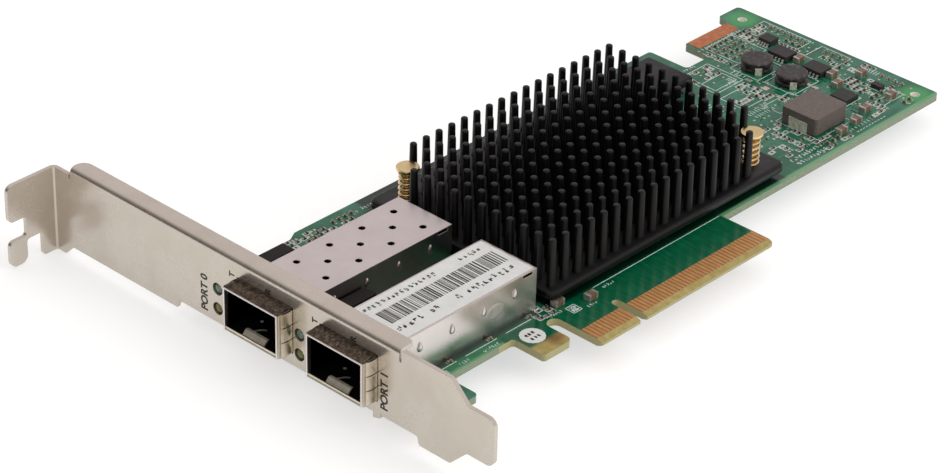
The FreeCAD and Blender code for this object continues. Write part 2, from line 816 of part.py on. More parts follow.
# Terminals: a foot under the piece and a leg up its side, at two opposite ends
def inductor_terminals():
    def clip(reach, inward, width, height):
        profile = [(reach - inward, 0), (reach + terminal_t, 0), (reach + terminal_t, height), (reach, height),
                   (reach, terminal_t), (reach - inward, terminal_t)]
        return plate_xz(sharp(profile), -width / 2, width / 2)

    clips = []
    for place in drums:
        for angle in (45, 225):
            piece = clip(drum_r, terminal_in, terminal_w, terminal_h)
            piece.rotate(V(0, 0, 0), V(0, 0, 1), angle)
            piece.translate(V(*spot(*place), 0))
            clips.append(piece)
    for angle in (0, 180):
        piece = clip(block_size[0] / 2, block_terminal_in, block_terminal_w, block_terminal_h)
        piece.rotate(V(0, 0, 0), V(0, 0, 1), angle)
        piece.translate(V(*spot(*block), 0))
        clips.append(piece)
    return Part.makeCompound(clips)


def regulator_bodies():
    bodies = [middle_box(*spot(d, u), w, h, lead_lift, leaded_h) for d, u, w, h in leaded]
    bodies += [middle_box(*spot(d, u), w, h, 0, leadless_h) for d, u, w, h in leadless]
    return Part.makeCompound(bodies)


# Gull-wing leads: out of the body's side, down, and along the board
def regulator_leads():
    end = lead_out + lead_foot
    profile = [(0, lead_high), (lead_out, lead_high), (lead_out, lead_t), (end, lead_t), (end, 0),
               (lead_out - lead_t, 0), (lead_out - lead_t, lead_high - lead_t), (0, lead_high - lead_t)]
    leads = []
    for (d, u, w, h), per_side in zip(leaded, leaded_counts):
        x, y = spot(d, u)
        pitch = h / (per_side + lead_ends)
        for side in (-1, 1):
            for i in range(per_side):
                start = y + (i - (per_side - 1) / 2) * pitch - lead_w / 2
                points = [V(x + side * (w / 2 + out), start, z) for out, z in profile]
                leads.append(polygon_face(points).extrude(V(0, lead_w, 0)))
    return Part.makeCompound(leads)


# Large capacitors: a body between two end caps, all resting on the board
def capacitor_parts():
    length, width, height = large_len, large_w, large_h
    places = [spot(d, u) for d, u in large_places]
    places += [(x, board_low - down) for x, down in finger_places]
    bodies, ends = [], []
    cap = length * cap_share
    for x, y in places:
        bodies.append(middle_box(x, y, length - 2 * cap, width, 0, height))
        for side in (-1, 1):
            ends.append(middle_box(x + side * (length - cap) / 2, y, cap, width, 0, height))
    return Part.makeCompound(bodies), Part.makeCompound(ends)


def small_chips():
    chips = []
    for x, y, turn in small_places():
        w, d = (small_w, small_len) if turn else (small_len, small_w)
        chips.append(middle_box(x, y, w, d, 0, small_h))
    return Part.makeCompound(chips)


def small_places():
    places = []
    for i, (from_rear, share, along, down) in enumerate(small_rows):
        x, y = spot(from_rear, share)
        places += [(x + along * k, y - down * k, i in turned_rows) for k in range(small_counts[i])]
    for i in range(foot_count):
        places.append((cage_rear - foot_rear - foot_step * i, cage_near - foot_clear, False))
    for i in range(top_row_count):
        x = cage_rear - top_row_rear + top_row_step * i
        places.append((x, board_top - top_row_drop, True))
    return places


nodes = {
    "circuit_board": circuit_board(),
    "edge_contacts": edge_contacts(),
    "ground_strip": box(cut_rear + inner_r, rear_tab_x - corner_r, strip_edge - tip_margin - strip_w,
                        strip_edge - tip_margin, 0, strip_t),
    "bracket": bracket(),
    "bracket_spacers": bracket_spacers(),
    "bracket_screws": bracket_screws(),
}
for i, y in enumerate(cage_y):
    nodes[f"cage_shell_{i}"] = cage_shell(y)
    nodes[f"cage_floor_{i}"] = cage_floor(y)
    nodes[f"emi_collar_{i}"] = emi_collar(y)
    nodes[f"port_connector_{i}"] = port_connector(y)
for i, y in enumerate(lamp_y):
    nodes[f"led_housing_{i}"] = led_housing(y)
    nodes[f"link_lens_{i}"] = lamp_lens(y, lamp_z[0])
    nodes[f"activity_lens_{i}"] = lamp_lens(y, lamp_z[1])

chip_at = ((pin_first_x + pin_last_x) / 2, (pin_first_y + pin_last_y) / 2)
nodes["heat_sink"] = heat_sink()
nodes["controller_chip"] = middle_box(*chip_at, chip_side, chip_side, 0, chip_h)
nodes["thermal_pad"] = middle_box(*chip_at, chip_side, chip_side, chip_h, plate_low)
for end, place in push_places.items():
    nodes[f"push_pin_{end}"] = push_pin(*place)
    nodes[f"spring_{end}"] = push_spring(*place)

label_start, label_end = collar_back + label_front, cage_rear - label_rear
label_half = cage_w / 2 - label_margin
nodes["cage_label"] = box(label_start, label_end, cage_y[1] - label_half, cage_y[1] + label_half,
                          cage_h, cage_h + label_t)
nodes["round_sticker"] = rod_z(hook_rear - sticker_x, hook_tip + sticker_up, sticker_r, 0, sticker_t)
nodes["inductor_upper"] = drum_inductor(*spot(*drums[0]))
nodes["inductor_lower"] = drum_inductor(*spot(*drums[1]))
nodes["inductor_square"] = block_inductor(*spot(*block))
nodes["inductor_terminals"] = inductor_terminals()
nodes["regulator_bodies"] = regulator_bodies()
nodes["regulator_leads"] = regulator_leads()
nodes["capacitor_bodies"], nodes["capacitor_ends"] = capacitor_parts()
nodes["small_chips"] = small_chips()

os.makedirs("parts", exist_ok=True)
for name, shape in nodes.items():
    shape.exportStep(f"parts/{name}.step")
    print(f"{name:20s} solids {len(shape.Solids):3d}  volume {shape.Volume:9.2f}")
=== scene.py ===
import math

import bpy
import numpy as np
from mathutils import Matrix, Vector


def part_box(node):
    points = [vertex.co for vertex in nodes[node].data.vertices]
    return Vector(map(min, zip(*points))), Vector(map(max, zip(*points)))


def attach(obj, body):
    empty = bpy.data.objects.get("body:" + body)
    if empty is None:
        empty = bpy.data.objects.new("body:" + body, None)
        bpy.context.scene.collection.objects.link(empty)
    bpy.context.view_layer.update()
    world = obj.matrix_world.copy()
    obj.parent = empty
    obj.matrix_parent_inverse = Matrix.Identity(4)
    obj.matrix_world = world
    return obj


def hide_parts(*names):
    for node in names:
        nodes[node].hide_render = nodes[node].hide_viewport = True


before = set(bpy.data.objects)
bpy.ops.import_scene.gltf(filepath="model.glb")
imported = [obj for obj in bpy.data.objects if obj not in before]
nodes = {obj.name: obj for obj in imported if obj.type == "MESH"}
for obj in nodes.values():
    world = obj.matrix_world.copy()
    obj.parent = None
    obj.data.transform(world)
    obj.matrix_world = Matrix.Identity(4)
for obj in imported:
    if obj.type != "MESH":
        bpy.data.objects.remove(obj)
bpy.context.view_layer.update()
scene = bpy.context.scene
mm = 0.001
rng = np.random.default_rng(11)
print("frame loaded,", len(nodes), "nodes")


def span(node):  # lowest and highest corner of a CAD node, in millimetres
    low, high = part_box(node)
    return np.array(low) / mm, np.array(high) / mm


# Colour and node helpers

def linear(hexText):  # sRGB hex to a linear colour
    c = np.array([int(hexText[i:i + 2], 16) for i in (1, 3, 5)]) / 255
    return (*np.where(c <= 0.04045, c / 12.92, ((c + 0.055) / 1.055) ** 2.4).tolist(), 1.0)


def addNode(tree, kind, inputs=None, stops=None, **settings):  # a node with its settings and links
    node = tree.nodes.new("ShaderNode" + kind)
    for key, value in settings.items():
        setattr(node, key, value)
    for key, value in (inputs or {}).items():
        if isinstance(value, bpy.types.NodeSocket):
            tree.links.new(value, node.inputs[key])
        else:
            node.inputs[key].default_value = linear(value) if isinstance(value, str) else value
    for i, (place, shade) in enumerate(stops or ()):
        element = node.color_ramp.elements[i] if i < 2 else node.color_ramp.elements.new(place)
        element.position = place
        element.color = linear(shade)
    return node.outputs


def newMaterial(name):
    material = bpy.data.materials.new(name)
    material.use_nodes = True
    material.node_tree.nodes.clear()
    return material, material.node_tree


# most of a noise's values lie between its first and last stop
noise = {"stops": (0.3, 0.5, 0.7), "detail": 4.0, "fineDetail": 3.0, "roughness": 0.6, "edgeSamples": 4}


# Three shades by a noise of one size, and the noise itself
def mottle(tree, vector, sizeMm, shades, stops=noise["stops"], detail=noise["detail"]):
    value = addNode(tree, "TexNoise", {"Vector": vector, "Scale": 1 / (sizeMm * mm), "Detail": detail,
                                       "Roughness": noise["roughness"]})["Fac"]
    return addNode(tree, "ValToRGB", {"Fac": value}, tuple(zip(stops, shades)))["Color"], value


# How far a point lies beyond a box's sides, turned into a share that fades to none over a soft edge
def boxMask(tree, coords, low, high, softMm, share=1.0):
    low, high = np.asarray(low, float) * mm, np.asarray(high, float) * mm
    centre, half = ((low + high) / 2).tolist(), ((high - low) / 2).tolist()
    off = addNode(tree, "VectorMath", {0: coords, 1: centre}, operation="SUBTRACT")[0]
    off = addNode(tree, "VectorMath", {0: off}, operation="ABSOLUTE")[0]
    off = addNode(tree, "VectorMath", {0: off, 1: half}, operation="SUBTRACT")[0]
    x, y, z = addNode(tree, "SeparateXYZ", {0: off})
    most = addNode(tree, "Math", {0: x, 1: y}, operation="MAXIMUM")[0]
    most = addNode(tree, "Math", {0: most, 1: z}, operation="MAXIMUM")[0]
    return addNode(tree, "MapRange", {"Value": most, "From Min": 0.0, "From Max": softMm * mm,
                                      "To Min": share, "To Max": 0.0})[0]


# The same for a distance from an upright axis
def spotMask(tree, coords, place, radius, softMm, share=1.0):
    flat = addNode(tree, "VectorMath", {0: coords, 1: (1, 1, 0)}, operation="MULTIPLY")[0]
    axis = (place[0] * mm, place[1] * mm, 0)
    far = addNode(tree, "VectorMath", {0: flat, 1: axis}, operation="DISTANCE")["Value"]
    return addNode(tree, "MapRange", {"Value": far, "From Min": radius * mm, "To Min": share,
                                      "From Max": (radius + softMm) * mm, "To Max": 0.0})[0]


def layered(tree, colour, layers):  # shades laid over a colour one after another, each by its own mask
    for mask, shade in layers:
        colour = addNode(tree, "Mix", {0: mask, 6: colour, 7: shade}, data_type="RGBA")[2]
    return colour


# The surface over a colour: a fine grain as bump, soft edges where a size is named for them, and a
# roughness that wanders with a noise, or with the grain. Keys of a finish with a capital are the shader's
# own sockets.
def dress(tree, vector, colour, finish, wander=None):
    size, depth, strength = finish["grain"]
    grain = addNode(tree, "TexNoise", {"Vector": vector, "Scale": 1 / (size * mm),
                                       "Detail": noise["fineDetail"]})["Fac"]
    relief = {"Height": grain, "Strength": strength, "Distance": depth * mm}
    if "edgeMm" in finish:
        relief["Normal"] = addNode(tree, "Bevel", {"Radius": finish["edgeMm"] * mm},
                                   samples=noise["edgeSamples"])[0]
    bump = addNode(tree, "Bump", relief)[0]
    smooth, coarse = finish["rough"]
    rough = addNode(tree, "MapRange", {"Value": grain if wander is None else wander, "To Min": smooth,
                                       "To Max": coarse, "From Min": noise["stops"][0],
                                       "From Max": noise["stops"][-1]})[0]
    sockets = {key: value for key, value in finish.items() if key[0].isupper()}
    shader = addNode(tree, "BsdfPrincipled", {"Base Color": colour, "Roughness": rough, "Normal": bump,
                                              **sockets})
    addNode(tree, "OutputMaterial", {"Surface": shader[0]})


# A finish: blotches of three shades at one size, with painted shade laid over it inside the boxes that are
# named
def makeFinish(name, finish):
    material, tree = newMaterial(name)
    coords = addNode(tree, "TexCoord")["Object"]
    stretch = finish.get("stretch", (1, 1, 1))
    drawn = addNode(tree, "Mapping", {"Vector": coords, "Scale": stretch})[0]
    colour, blotch = mottle(tree, drawn, finish["blotchMm"], finish["shades"])
    dark = [(boxMask(tree, coords, low, high, paintedCageShade["softMm"]), paintedCageShade["shade"])
            for low, high in finish.get("rooms", ())]
    dress(tree, drawn, layered(tree, colour, dark), finish, blotch)
    return material


ports = [span(f"emi_collar_{i}") for i in (0, 1)]
# painted shade: behind their mouths the cage walls and floors are painted near black, where little light
# reaches
paintedCageShade = {"wall": 0.53, "floor": 0.27, "rear": -13.2, "shade": "#080706", "softMm": 0.02}


# each box is a place of painted shade
def rooms(mouth, under):  # the dark room in each cage, from near its mouth, to some way under its roof
    wall, floor, rear = paintedCageShade["wall"], paintedCageShade["floor"], paintedCageShade["rear"]
    return [((low[0] + mouth, low[1] + wall, low[2] + floor), (rear, high[1] - wall, high[2] - wall - under))
            for low, high in ports]


# the grain of each finish is its size and depth in millimetres and its strength
finishes = {
    # nickel-plated steel, rolled and bent: warm grey with a silky sheen
    "satinNickelSteel": {"shades": ("#CBC1B5", "#D1C8BC", "#D7CEC3"), "blotchMm": 9,
        "grain": (0.25, 0.01, 0.05), "rough": (0.22, 0.3), "edgeMm": 0.12, "Metallic": 0.76},
    # bright nickel silver sheet of the cages: nearly a mirror, slightly mauve, with painted shade inside
    # each cage
    "nickelSilverSheet": {"shades": ("#DAD3CF", "#E0D9D5", "#E6E0DC"), "blotchMm": 7,
        "grain": (2.6, 0.05, 0.3), "rough": (0.27, 0.36), "edgeMm": 0.2, "rooms": rooms(0.4, 0),
        "Metallic": 1.0},
    # the same sheet where a press has dulled it
    "pressedSheet": {"shades": ("#B4B4AA", "#BFC0B6", "#C9CAC1"), "blotchMm": 1.5,
        "grain": (0.3, 0.02, 0.2), "rough": (0.42, 0.5), "Metallic": 0.7},
    # the floor of each cage with its latch: plain tin, dull and pale; painted shade darkens the flat floor
    # from the mouth in, and all of it further back, leaving the raised latch pale
    "dullTinSheet": {"shades": ("#A9A290", "#B8B19F", "#C9C3B3"), "blotchMm": 1.2,
        "grain": (0.2, 0.02, 0.2), "rough": (0.45, 0.6), "rooms": rooms(1.9, 0) + rooms(-0.3, 8.87),
        "Metallic": 0.25},
    # tinned spring sheet of the shield fingers: pale cream, a little dull
    "tinnedSpringSheet": {"shades": ("#C9BFA9", "#D8CFBC", "#E2DACA"), "blotchMm": 1.6,
        "grain": (0.2, 0.02, 0.2), "rough": (0.28, 0.42), "Metallic": 1.0},
    # the fingers on top: the same spring sheet painted dark brown and blotched, a painted dark reflection
    "paintedReflectionSpringSheet": {"shades": ("#2B241D", "#564A3D", "#857765"), "blotchMm": 0.7,
        "grain": (0.25, 0.08, 0.6), "rough": (0.35, 0.6), "Metallic": 0.7},
    # black anodised cast aluminium: deep black with a soft grey sheen
    "blackAnodisedAluminium": {"shades": ("#040404", "#060606", "#090909"), "blotchMm": 3,
        "grain": (0.12, 0.02, 0.25), "rough": (0.4, 0.52), "Specular IOR Level": 0.36},
    # turned brass: pale gold, bright on the crown
    "turnedBrass": {"shades": ("#E3C88C", "#EAD29C", "#F0DCAC"), "blotchMm": 2.5,
        "grain": (0.15, 0.01, 0.12), "rough": (0.2, 0.3), "stretch": (1, 1, 4), "Metallic": 1.0},
    # brass-washed spring wire: brighter than the pins, uneven
    "springWire": {"shades": ("#D8B574", "#EED6A6", "#FBF2DF"), "blotchMm": 1.2, "grain": (0.15, 0.01, 0.1),
        "rough": (0.14, 0.24), "Metallic": 1.0},
    # zinc-plated steel screws and spacers: plain light grey
    "zincPlate": {"shades": ("#B4B2AC", "#C4C2BC", "#D0CEC8"), "blotchMm": 1.2, "grain": (0.2, 0.01, 0.15),
        "rough": (0.25, 0.35), "Metallic": 1.0},
    # hot tinned chip ends: pale, uneven solder
    "solderTin": {"shades": ("#9B968C", "#BDB8AE", "#DAD6CE"), "blotchMm": 0.5, "grain": (0.15, 0.03, 0.3),
        "rough": (0.36, 0.5), "Metallic": 0.7},
    # folded clips of the inductors: dull tin, pale and hardly a mirror
    "tinnedClip": {"shades": ("#A8A392", "#CFCAB9", "#E9E6DB"), "blotchMm": 0.9, "grain": (0.2, 0.02, 0.2),
        "rough": (0.35, 0.5), "Metallic": 0.1},
    # gull-wing leads of the small chips: bright tin
    "tinnedLead": {"shades": ("#C6C3BB", "#D8D5CE", "#E7E5DF"), "blotchMm": 0.5, "grain": (0.15, 0.02, 0.2),
        "rough": (0.3, 0.45), "Metallic": 0.5},
    # black glass-filled connector moulding: matt, with no clear highlight
    "blackMoulding": {"shades": ("#100E0D", "#171413", "#1E1A18"), "blotchMm": 1.5,
        "grain": (0.15, 0.02, 0.25), "rough": (0.5, 0.65), "edgeMm": 0.1, "Specular IOR Level": 0.25},
    # epoxy chip moulding: dark grey, fine sparkle-free matt
    "epoxyMoulding": {"shades": ("#1B1A19", "#2A2827", "#3B3835"), "blotchMm": 0.7,
        "grain": (0.1, 0.02, 0.3), "rough": (0.5, 0.65), "edgeMm": 0.08},
    # wound drum cores: dark ferrite with a brown tinge
    "ferrite": {"shades": ("#100D0C", "#2B2625", "#5A5351"), "blotchMm": 1.1, "grain": (0.12, 0.05, 0.4),
        "rough": (0.35, 0.55)},
    # pressed iron powder: grey-brown, faintly speckled
    "pressedIronPowder": {"shades": ("#5A504B", "#665B56", "#716661"), "blotchMm": 0.6,
        "grain": (0.12, 0.04, 0.35), "rough": (0.55, 0.7), "edgeMm": 0.2},
    # fired ceramic chips: grey-brown like milky coffee
    "chipCeramic": {"shades": ("#5B4638", "#73594A", "#8C7160"), "blotchMm": 0.5,
        "grain": (0.1, 0.02, 0.25), "rough": (0.35, 0.5), "edgeMm": 0.08},
    # silicone gap filler: soft grey, dull as putty
    "siliconeFiller": {"shades": ("#6F737A", "#7C8087", "#888C92"), "blotchMm": 1.5,
        "grain": (0.2, 0.03, 0.3), "rough": (0.7, 0.85)},
    # coated label paper: white, barely fibrous
    "coatedPaper": {"shades": ("#D4D3CF", "#DAD9D5", "#DFDFDB"), "blotchMm": 3, "grain": (0.12, 0.01, 0.2),
        "rough": (0.45, 0.6)},
    # black printing ink: flat, a little warm
    "printInk": {"shades": ("#26231F", "#2E2A26", "#38342F"), "blotchMm": 0.6, "grain": (0.1, 0.01, 0.1),
        "rough": (0.5, 0.7)},
    # grey print of the label's and the sticker's small marks
    "greyInk": {"shades": ("#3C3A3A", "#4A4848", "#5C5A5A"), "blotchMm": 0.5, "grain": (0.1, 0.01, 0.1),
        "rough": (0.5, 0.7)},
    # screen-printed legend on the board: chalky white, a little thin
    "legendInk": {"shades": ("#BCCDC3", "#D4DED8", "#E6ECE8"), "blotchMm": 0.5, "grain": (0.12, 0.02, 0.2),
        "rough": (0.5, 0.7)},
    # tracks under the solder mask: the same green, a shade lighter where copper lies below
    "maskedCopper": {"shades": ("#1E6B4D", "#2A775A", "#388469"), "blotchMm": 2, "grain": (0.2, 0.01, 0.15),
        "rough": (0.18, 0.28)},
    # solderable pads: pale silver gold
    "bareTinPad": {"shades": ("#B9B49E", "#CFCBB8", "#DEDBCC"), "blotchMm": 0.6, "grain": (0.12, 0.01, 0.2),
        "rough": (0.3, 0.45), "Metallic": 0.8},
    # plated edge contacts: orange gold with fine wipe marks along the contact
    "hardGold": {"shades": ("#B97C44", "#CA9058", "#D8A46E"), "blotchMm": 1.2, "grain": (0.12, 0.01, 0.2),
        "rough": (0.28, 0.42), "stretch": (3, 0.5, 1), "Metallic": 0.5},
    # bare copper strip, slightly oxidised
    "bareCopper": {"shades": ("#A9603A", "#BF744A", "#CE8A60"), "blotchMm": 1.5, "grain": (0.2, 0.01, 0.2),
        "rough": (0.35, 0.5), "Metallic": 0.6},
    # moulded lamp lenses, cloudy green and olive
    "greenLens": {"shades": ("#4C6B58", "#76927F", "#A0B6A6"), "blotchMm": 0.9, "grain": (0.2, 0.01, 0.1),
        "rough": (0.12, 0.2), "Transmission Weight": 0.12, "IOR": 1.49},
    "yellowLens": {"shades": ("#5C5B22", "#82823A", "#9B9B50"), "blotchMm": 0.9, "grain": (0.2, 0.01, 0.1),
        "rough": (0.12, 0.2), "Transmission Weight": 0.12, "IOR": 1.49},
}
materials = {name: makeFinish(name, finish) for name, finish in finishes.items()}

board = {
    "mask": ("#0D5338", "#1A6146", "#34715C"), "maskStops": (0.36, 0.5, 0.64), "maskMm": 7.0,
    "maskDetail": 6.0, "deep": ("#00482D", "#005435", "#086242"), "deepMm": 3.0, "comb": (6.0, 0.6, 1.0),
    "tab": (-26, -1, 42, 14.2),
    # x from, y from, x to, y to, soft edge, share and shade of each place on top that differs: the strip
    # along the lower edge with no copper below, the front strip, and painted shade beside the cages, between
    # them, under and behind the heat sink, and beside its notch
    "tints": ((39.3, 0, 112, 13.9, 0.5, 0.65, "#7FB080"), (-50.4, 12, -26, 14.6, 0.8, 0.6, "#1F7A46"),
        (-50.4, 12, -26, 12.7, 0.6, 0.5, "#7DB287"), (-50.4, 15.6, -13, 30, 1.0, 0.85, "#06241A"),
        (-60, 31, -13, 38.5, 0.3, 0.75, "#2E382B"), (-10.3, 14.5, 60, 64, 0.8, 0.9, "#03140D"),
        (60, 52, 74, 64, 0.8, 0.9, "#03140D"), (-9, 64, 61, 70, 0.8, 0.85, "#08130D"),
        (59, 38, 64, 52, 1.5, 0.6, "#06241A")),
    "holes": ((107.4, 16.5), (107.4, 64.3)), "holeTint": (2.2, 2.6, 0.75), "holeShade": "#3F9A52",
    "holeClear": 2.4,
    # bare laminate: x from, y from, x to, y to, soft edge
    "bare": ((-23.6, -1, -15.3, 7.4, 1.1), (-13, -1, 60, 5.5, 0.02)),
    "laminate": ("#957F47", "#A28F53", "#B19F64"), "laminateMm": 1.6, "between": (-13, 1.35, 40, 5.5),
    "betweenShare": 0.8, "betweenShade": "#7C5526", "stain": ((-17.6, 7.2), 0.5, 2.4, 0.8),
    "stainShade": "#6E4326", "cut": ("#70876A", "#869577", "#9EA586"), "cutMm": 0.8,
    "plies": (0.6, 0.6, 5.0), "steep": 0.3,
    "cutTints": ((-60, -1, -26, 80, 0.5, 0.6, "#93A283"), (-27, -1, 42, 12.6, 0.5, 0.75, "#C6BA80")),
    # painted light: the bores of the rear holes are near white, lighter than the other cut sides, for the
    # bright floor seen through them
    "bore": "#F4F2E8", "boreSpot": (1.3, 0.1), "through": 5, "topOnly": -0.05, "softMm": 0.02,
    "grain": (0.35, 0.02, 0.12), "rough": (0.12, 0.22)}


# Glass-epoxy laminate under glossy green solder mask. The mask is darker over the edge tab, yellower round
# the two rear holes, and left off the contacts' end of the tab and the tip of the hook, which is stained.
# The cut sides show the bare laminate. Painted shade darkens the board beside and between the cages and
# under, behind and beside the heat sink.
def makeBoard():
    b = board
    material, tree = newMaterial("glassEpoxyBoard")
    source = addNode(tree, "TexCoord")
    coords = source["Object"]
    combed = addNode(tree, "Mapping", {"Vector": coords, "Scale": b["comb"]})[0]
    plied = addNode(tree, "Mapping", {"Vector": coords, "Scale": b["plies"]})[0]
    green = mottle(tree, coords, b["maskMm"], b["mask"], b["maskStops"], b["maskDetail"])[0]
    deep = mottle(tree, combed, b["deepMm"], b["deep"])[0]
    bare = mottle(tree, coords, b["laminateMm"], b["laminate"])[0]
    cut = mottle(tree, plied, b["cutMm"], b["cut"])[0]

    def place(area, softMm=b["softMm"], share=1.0, low=-b["through"]):  # through the board or on top
        x0, y0, x1, y1 = area
        return boxMask(tree, coords, (x0, y0, low), (x1, y1, b["through"]), softMm, share)

    # painted shade over the board beside and between the cages and under, behind and beside the heat sink
    tints = [(place(tint[:4], *tint[4:6], b["topOnly"]), tint[6]) for tint in b["tints"]]
    rings = [(spotMask(tree, coords, hole, *b["holeTint"]), b["holeShade"]) for hole in b["holes"]]
    green = layered(tree, green, [(place(b["tab"]), deep)] + tints + rings)
    bare = layered(tree, bare, [(place(b["between"], share=b["betweenShare"]), b["betweenShade"]),
                                (spotMask(tree, coords, *b["stain"]), b["stainShade"])])
    tints = [(place(tint[:4], *tint[4:6]), tint[6]) for tint in b["cutTints"]]
    # painted light in the bores of the rear holes
    bores = [(spotMask(tree, coords, hole, *b["boreSpot"]), b["bore"]) for hole in b["holes"]]
    cut = layered(tree, cut, tints + bores)
    up = addNode(tree, "SeparateXYZ", {0: source["Normal"]})[2]
    steep = addNode(tree, "Math", {0: up}, operation="ABSOLUTE")[0]
    steep = addNode(tree, "Math", {0: steep, 1: b["steep"]}, operation="LESS_THAN")[0]
    green = layered(tree, green, [(place(area[:4], area[4]), bare) for area in b["bare"]] + [(steep, cut)])
    dress(tree, coords, green, b)
    return material


materials["glassEpoxyBoard"] = makeBoard()
print("materials made:", len(materials))


# Mesh helpers. A part is an array of points and a list of faces, in millimetres until a piece is built.

def capped(grid):  # rows of points, each a closed ring, joined by quads, with the first and last row closed
    rows, columns = grid.shape[:2]
    i, j = np.arange(rows - 1)[:, None] * columns, np.arange(columns)[None]
    k = (j + 1) % columns
    quads = np.stack([i + j, i + k, i + columns + k, i + columns + j], -1).reshape(-1, 4).tolist()
    last = (rows - 1) * columns
    return grid.reshape(-1, 3), quads + [list(range(columns))[::-1], list(range(last, last + columns))]


def inverted(part):  # the same part with its faces turned round
    points, faces = part
    return points, [face[::-1] for face in faces]


def lathe(profile, sides, centre=(0, 0)):  # each (radius, height) of the profile carried round the Z axis
    profile = np.asarray(profile, float)
    turn = np.linspace(0, 2 * np.pi, sides, endpoint=False)
    points = np.empty((len(profile), sides, 3))
    points[..., 0] = centre[0] + profile[:, :1] * np.cos(turn)
    points[..., 1] = centre[1] + profile[:, :1] * np.sin(turn)
    points[..., 2] = profile[:, 1:]
    return capped(points)


boxSigns = np.array([[sx, sy, sz] for sx in (-1, 1) for sy in (-1, 1) for sz in (-1, 1)], float)
boxFaces = np.array([[0, 1, 3, 2], [4, 6, 7, 5], [0, 4, 5, 1], [2, 3, 7, 6], [0, 2, 6, 4], [1, 5, 7, 3]])


def boxes(centres, sizes):  # the eight corners of every box, as centre plus or minus half its size
    centres, sizes = np.atleast_2d(np.asarray(centres, float)), np.atleast_2d(np.asarray(sizes, float))
    points = centres[:, None] + boxSigns[None] * sizes[:, None] / 2
    faces = (boxFaces[None] + len(boxSigns) * np.arange(len(centres))[:, None, None]).reshape(-1, 4)
    return points.reshape(-1, 3), faces.tolist()


def repeatFaces(faces, step, count):  # the faces of one part, again for each of its copies
    return [[v + step * i for v in face] for i in range(count) for face in faces]


def copies(part, offsets):  # one part repeated at every offset
    points, faces = part
    offsets = np.asarray(offsets, float)
    moved = points[None] + offsets[:, None]
    return moved.reshape(-1, 3), repeatFaces(faces, len(points), len(offsets))


def raised(spots, z):  # flat places at a height
    return np.concatenate([spots, np.full((len(spots), 1), z)], 1)


def buildPiece(name, parts, finish, replaces=(), sharp=35, bevelMm=0):
    starts = np.cumsum([0] + [len(points) for points, _ in parts]).tolist()
    faces = [[v + start for v in face] for start, part in zip(starts, parts) for face in part[1]]
    mesh = bpy.data.meshes.new(name)
    mesh.from_pydata((np.concatenate([points for points, _ in parts]) * mm).tolist(), [], faces)
    mesh.update()
    mesh.polygons.foreach_set("use_smooth", np.ones(len(mesh.polygons), bool))
    mesh.set_sharp_from_angle(angle=math.radians(sharp))
    mesh.materials.append(materials[finish])
    piece = bpy.data.objects.new(name, mesh)
    scene.collection.objects.link(piece)
    if bevelMm:
        bevel = piece.modifiers.new("softEdges", "BEVEL")
        bevel.width = bevelMm * mm
        bevel.segments = 2
        bevel.limit_method = "ANGLE"
    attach(piece, "root")
    if replaces:
        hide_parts(*replaces)


# CAD nodes of each finish; a piece below may replace one with a finer shape
nodeFinishes = {
    "glassEpoxyBoard": ("circuit_board",), "hardGold": ("edge_contacts",), "bareCopper": ("ground_strip",),
    "satinNickelSteel": ("bracket",), "zincPlate": ("bracket_spacers", "bracket_screws"),
    "nickelSilverSheet": ("cage_shell_0", "cage_shell_1"), "dullTinSheet": ("cage_floor_0", "cage_floor_1"),
    "tinnedSpringSheet": ("emi_collar_0", "emi_collar_1"),
    "blackMoulding": ("port_connector_0", "port_connector_1", "led_housing_0", "led_housing_1"),
    "greenLens": ("link_lens_0", "link_lens_1"), "yellowLens": ("activity_lens_0", "activity_lens_1"),
    "blackAnodisedAluminium": ("heat_sink",), "siliconeFiller": ("thermal_pad",),
    "epoxyMoulding": ("controller_chip", "regulator_bodies"), "tinnedLead": ("regulator_leads",),
    "turnedBrass": ("push_pin_front", "push_pin_rear"), "springWire": ("spring_front", "spring_rear"),
    "coatedPaper": ("cage_label", "round_sticker"), "ferrite": ("inductor_upper", "inductor_lower"),
    "pressedIronPowder": ("inductor_square",), "tinnedClip": ("inductor_terminals",),
    "chipCeramic": ("capacitor_bodies", "small_chips"), "solderTin": ("capacitor_ends",)}
for finish, names in nodeFinishes.items():
    for name in names:
        nodes[name].data.materials.clear()
        nodes[name].data.materials.append(materials[finish])
print("finishes given to the nodes:", sum(len(names) for names in nodeFinishes.values()))

# corners of the plate with their radii, its edge as inset and height, and a pin as radius and height
heatSink = {
    "corners": ((-10.8, 14.25, 2.0), (60.5, 14.25, 2.0), (60.5, 51.15, 1.0), (75.0, 51.15, 1.0),
        (75.0, 64.1, 1.0), (-10.8, 64.1, 2.0)),
    "edge": ((0.25, 1.5), (0.0, 1.75), (0.0, 2.7), (0.14, 3.1), (0.5, 3.3)), "arcSteps": 8,
    "pin": ((1.02, 3.2), (0.9, 3.6), (0.745, 13.3), (0.7, 13.5), (0.58, 13.6)), "pinSides": 14,
    "first": (-8.35, 60.85), "pitch": 3.68, "columns": 19, "rows": 13, "bare": 2}


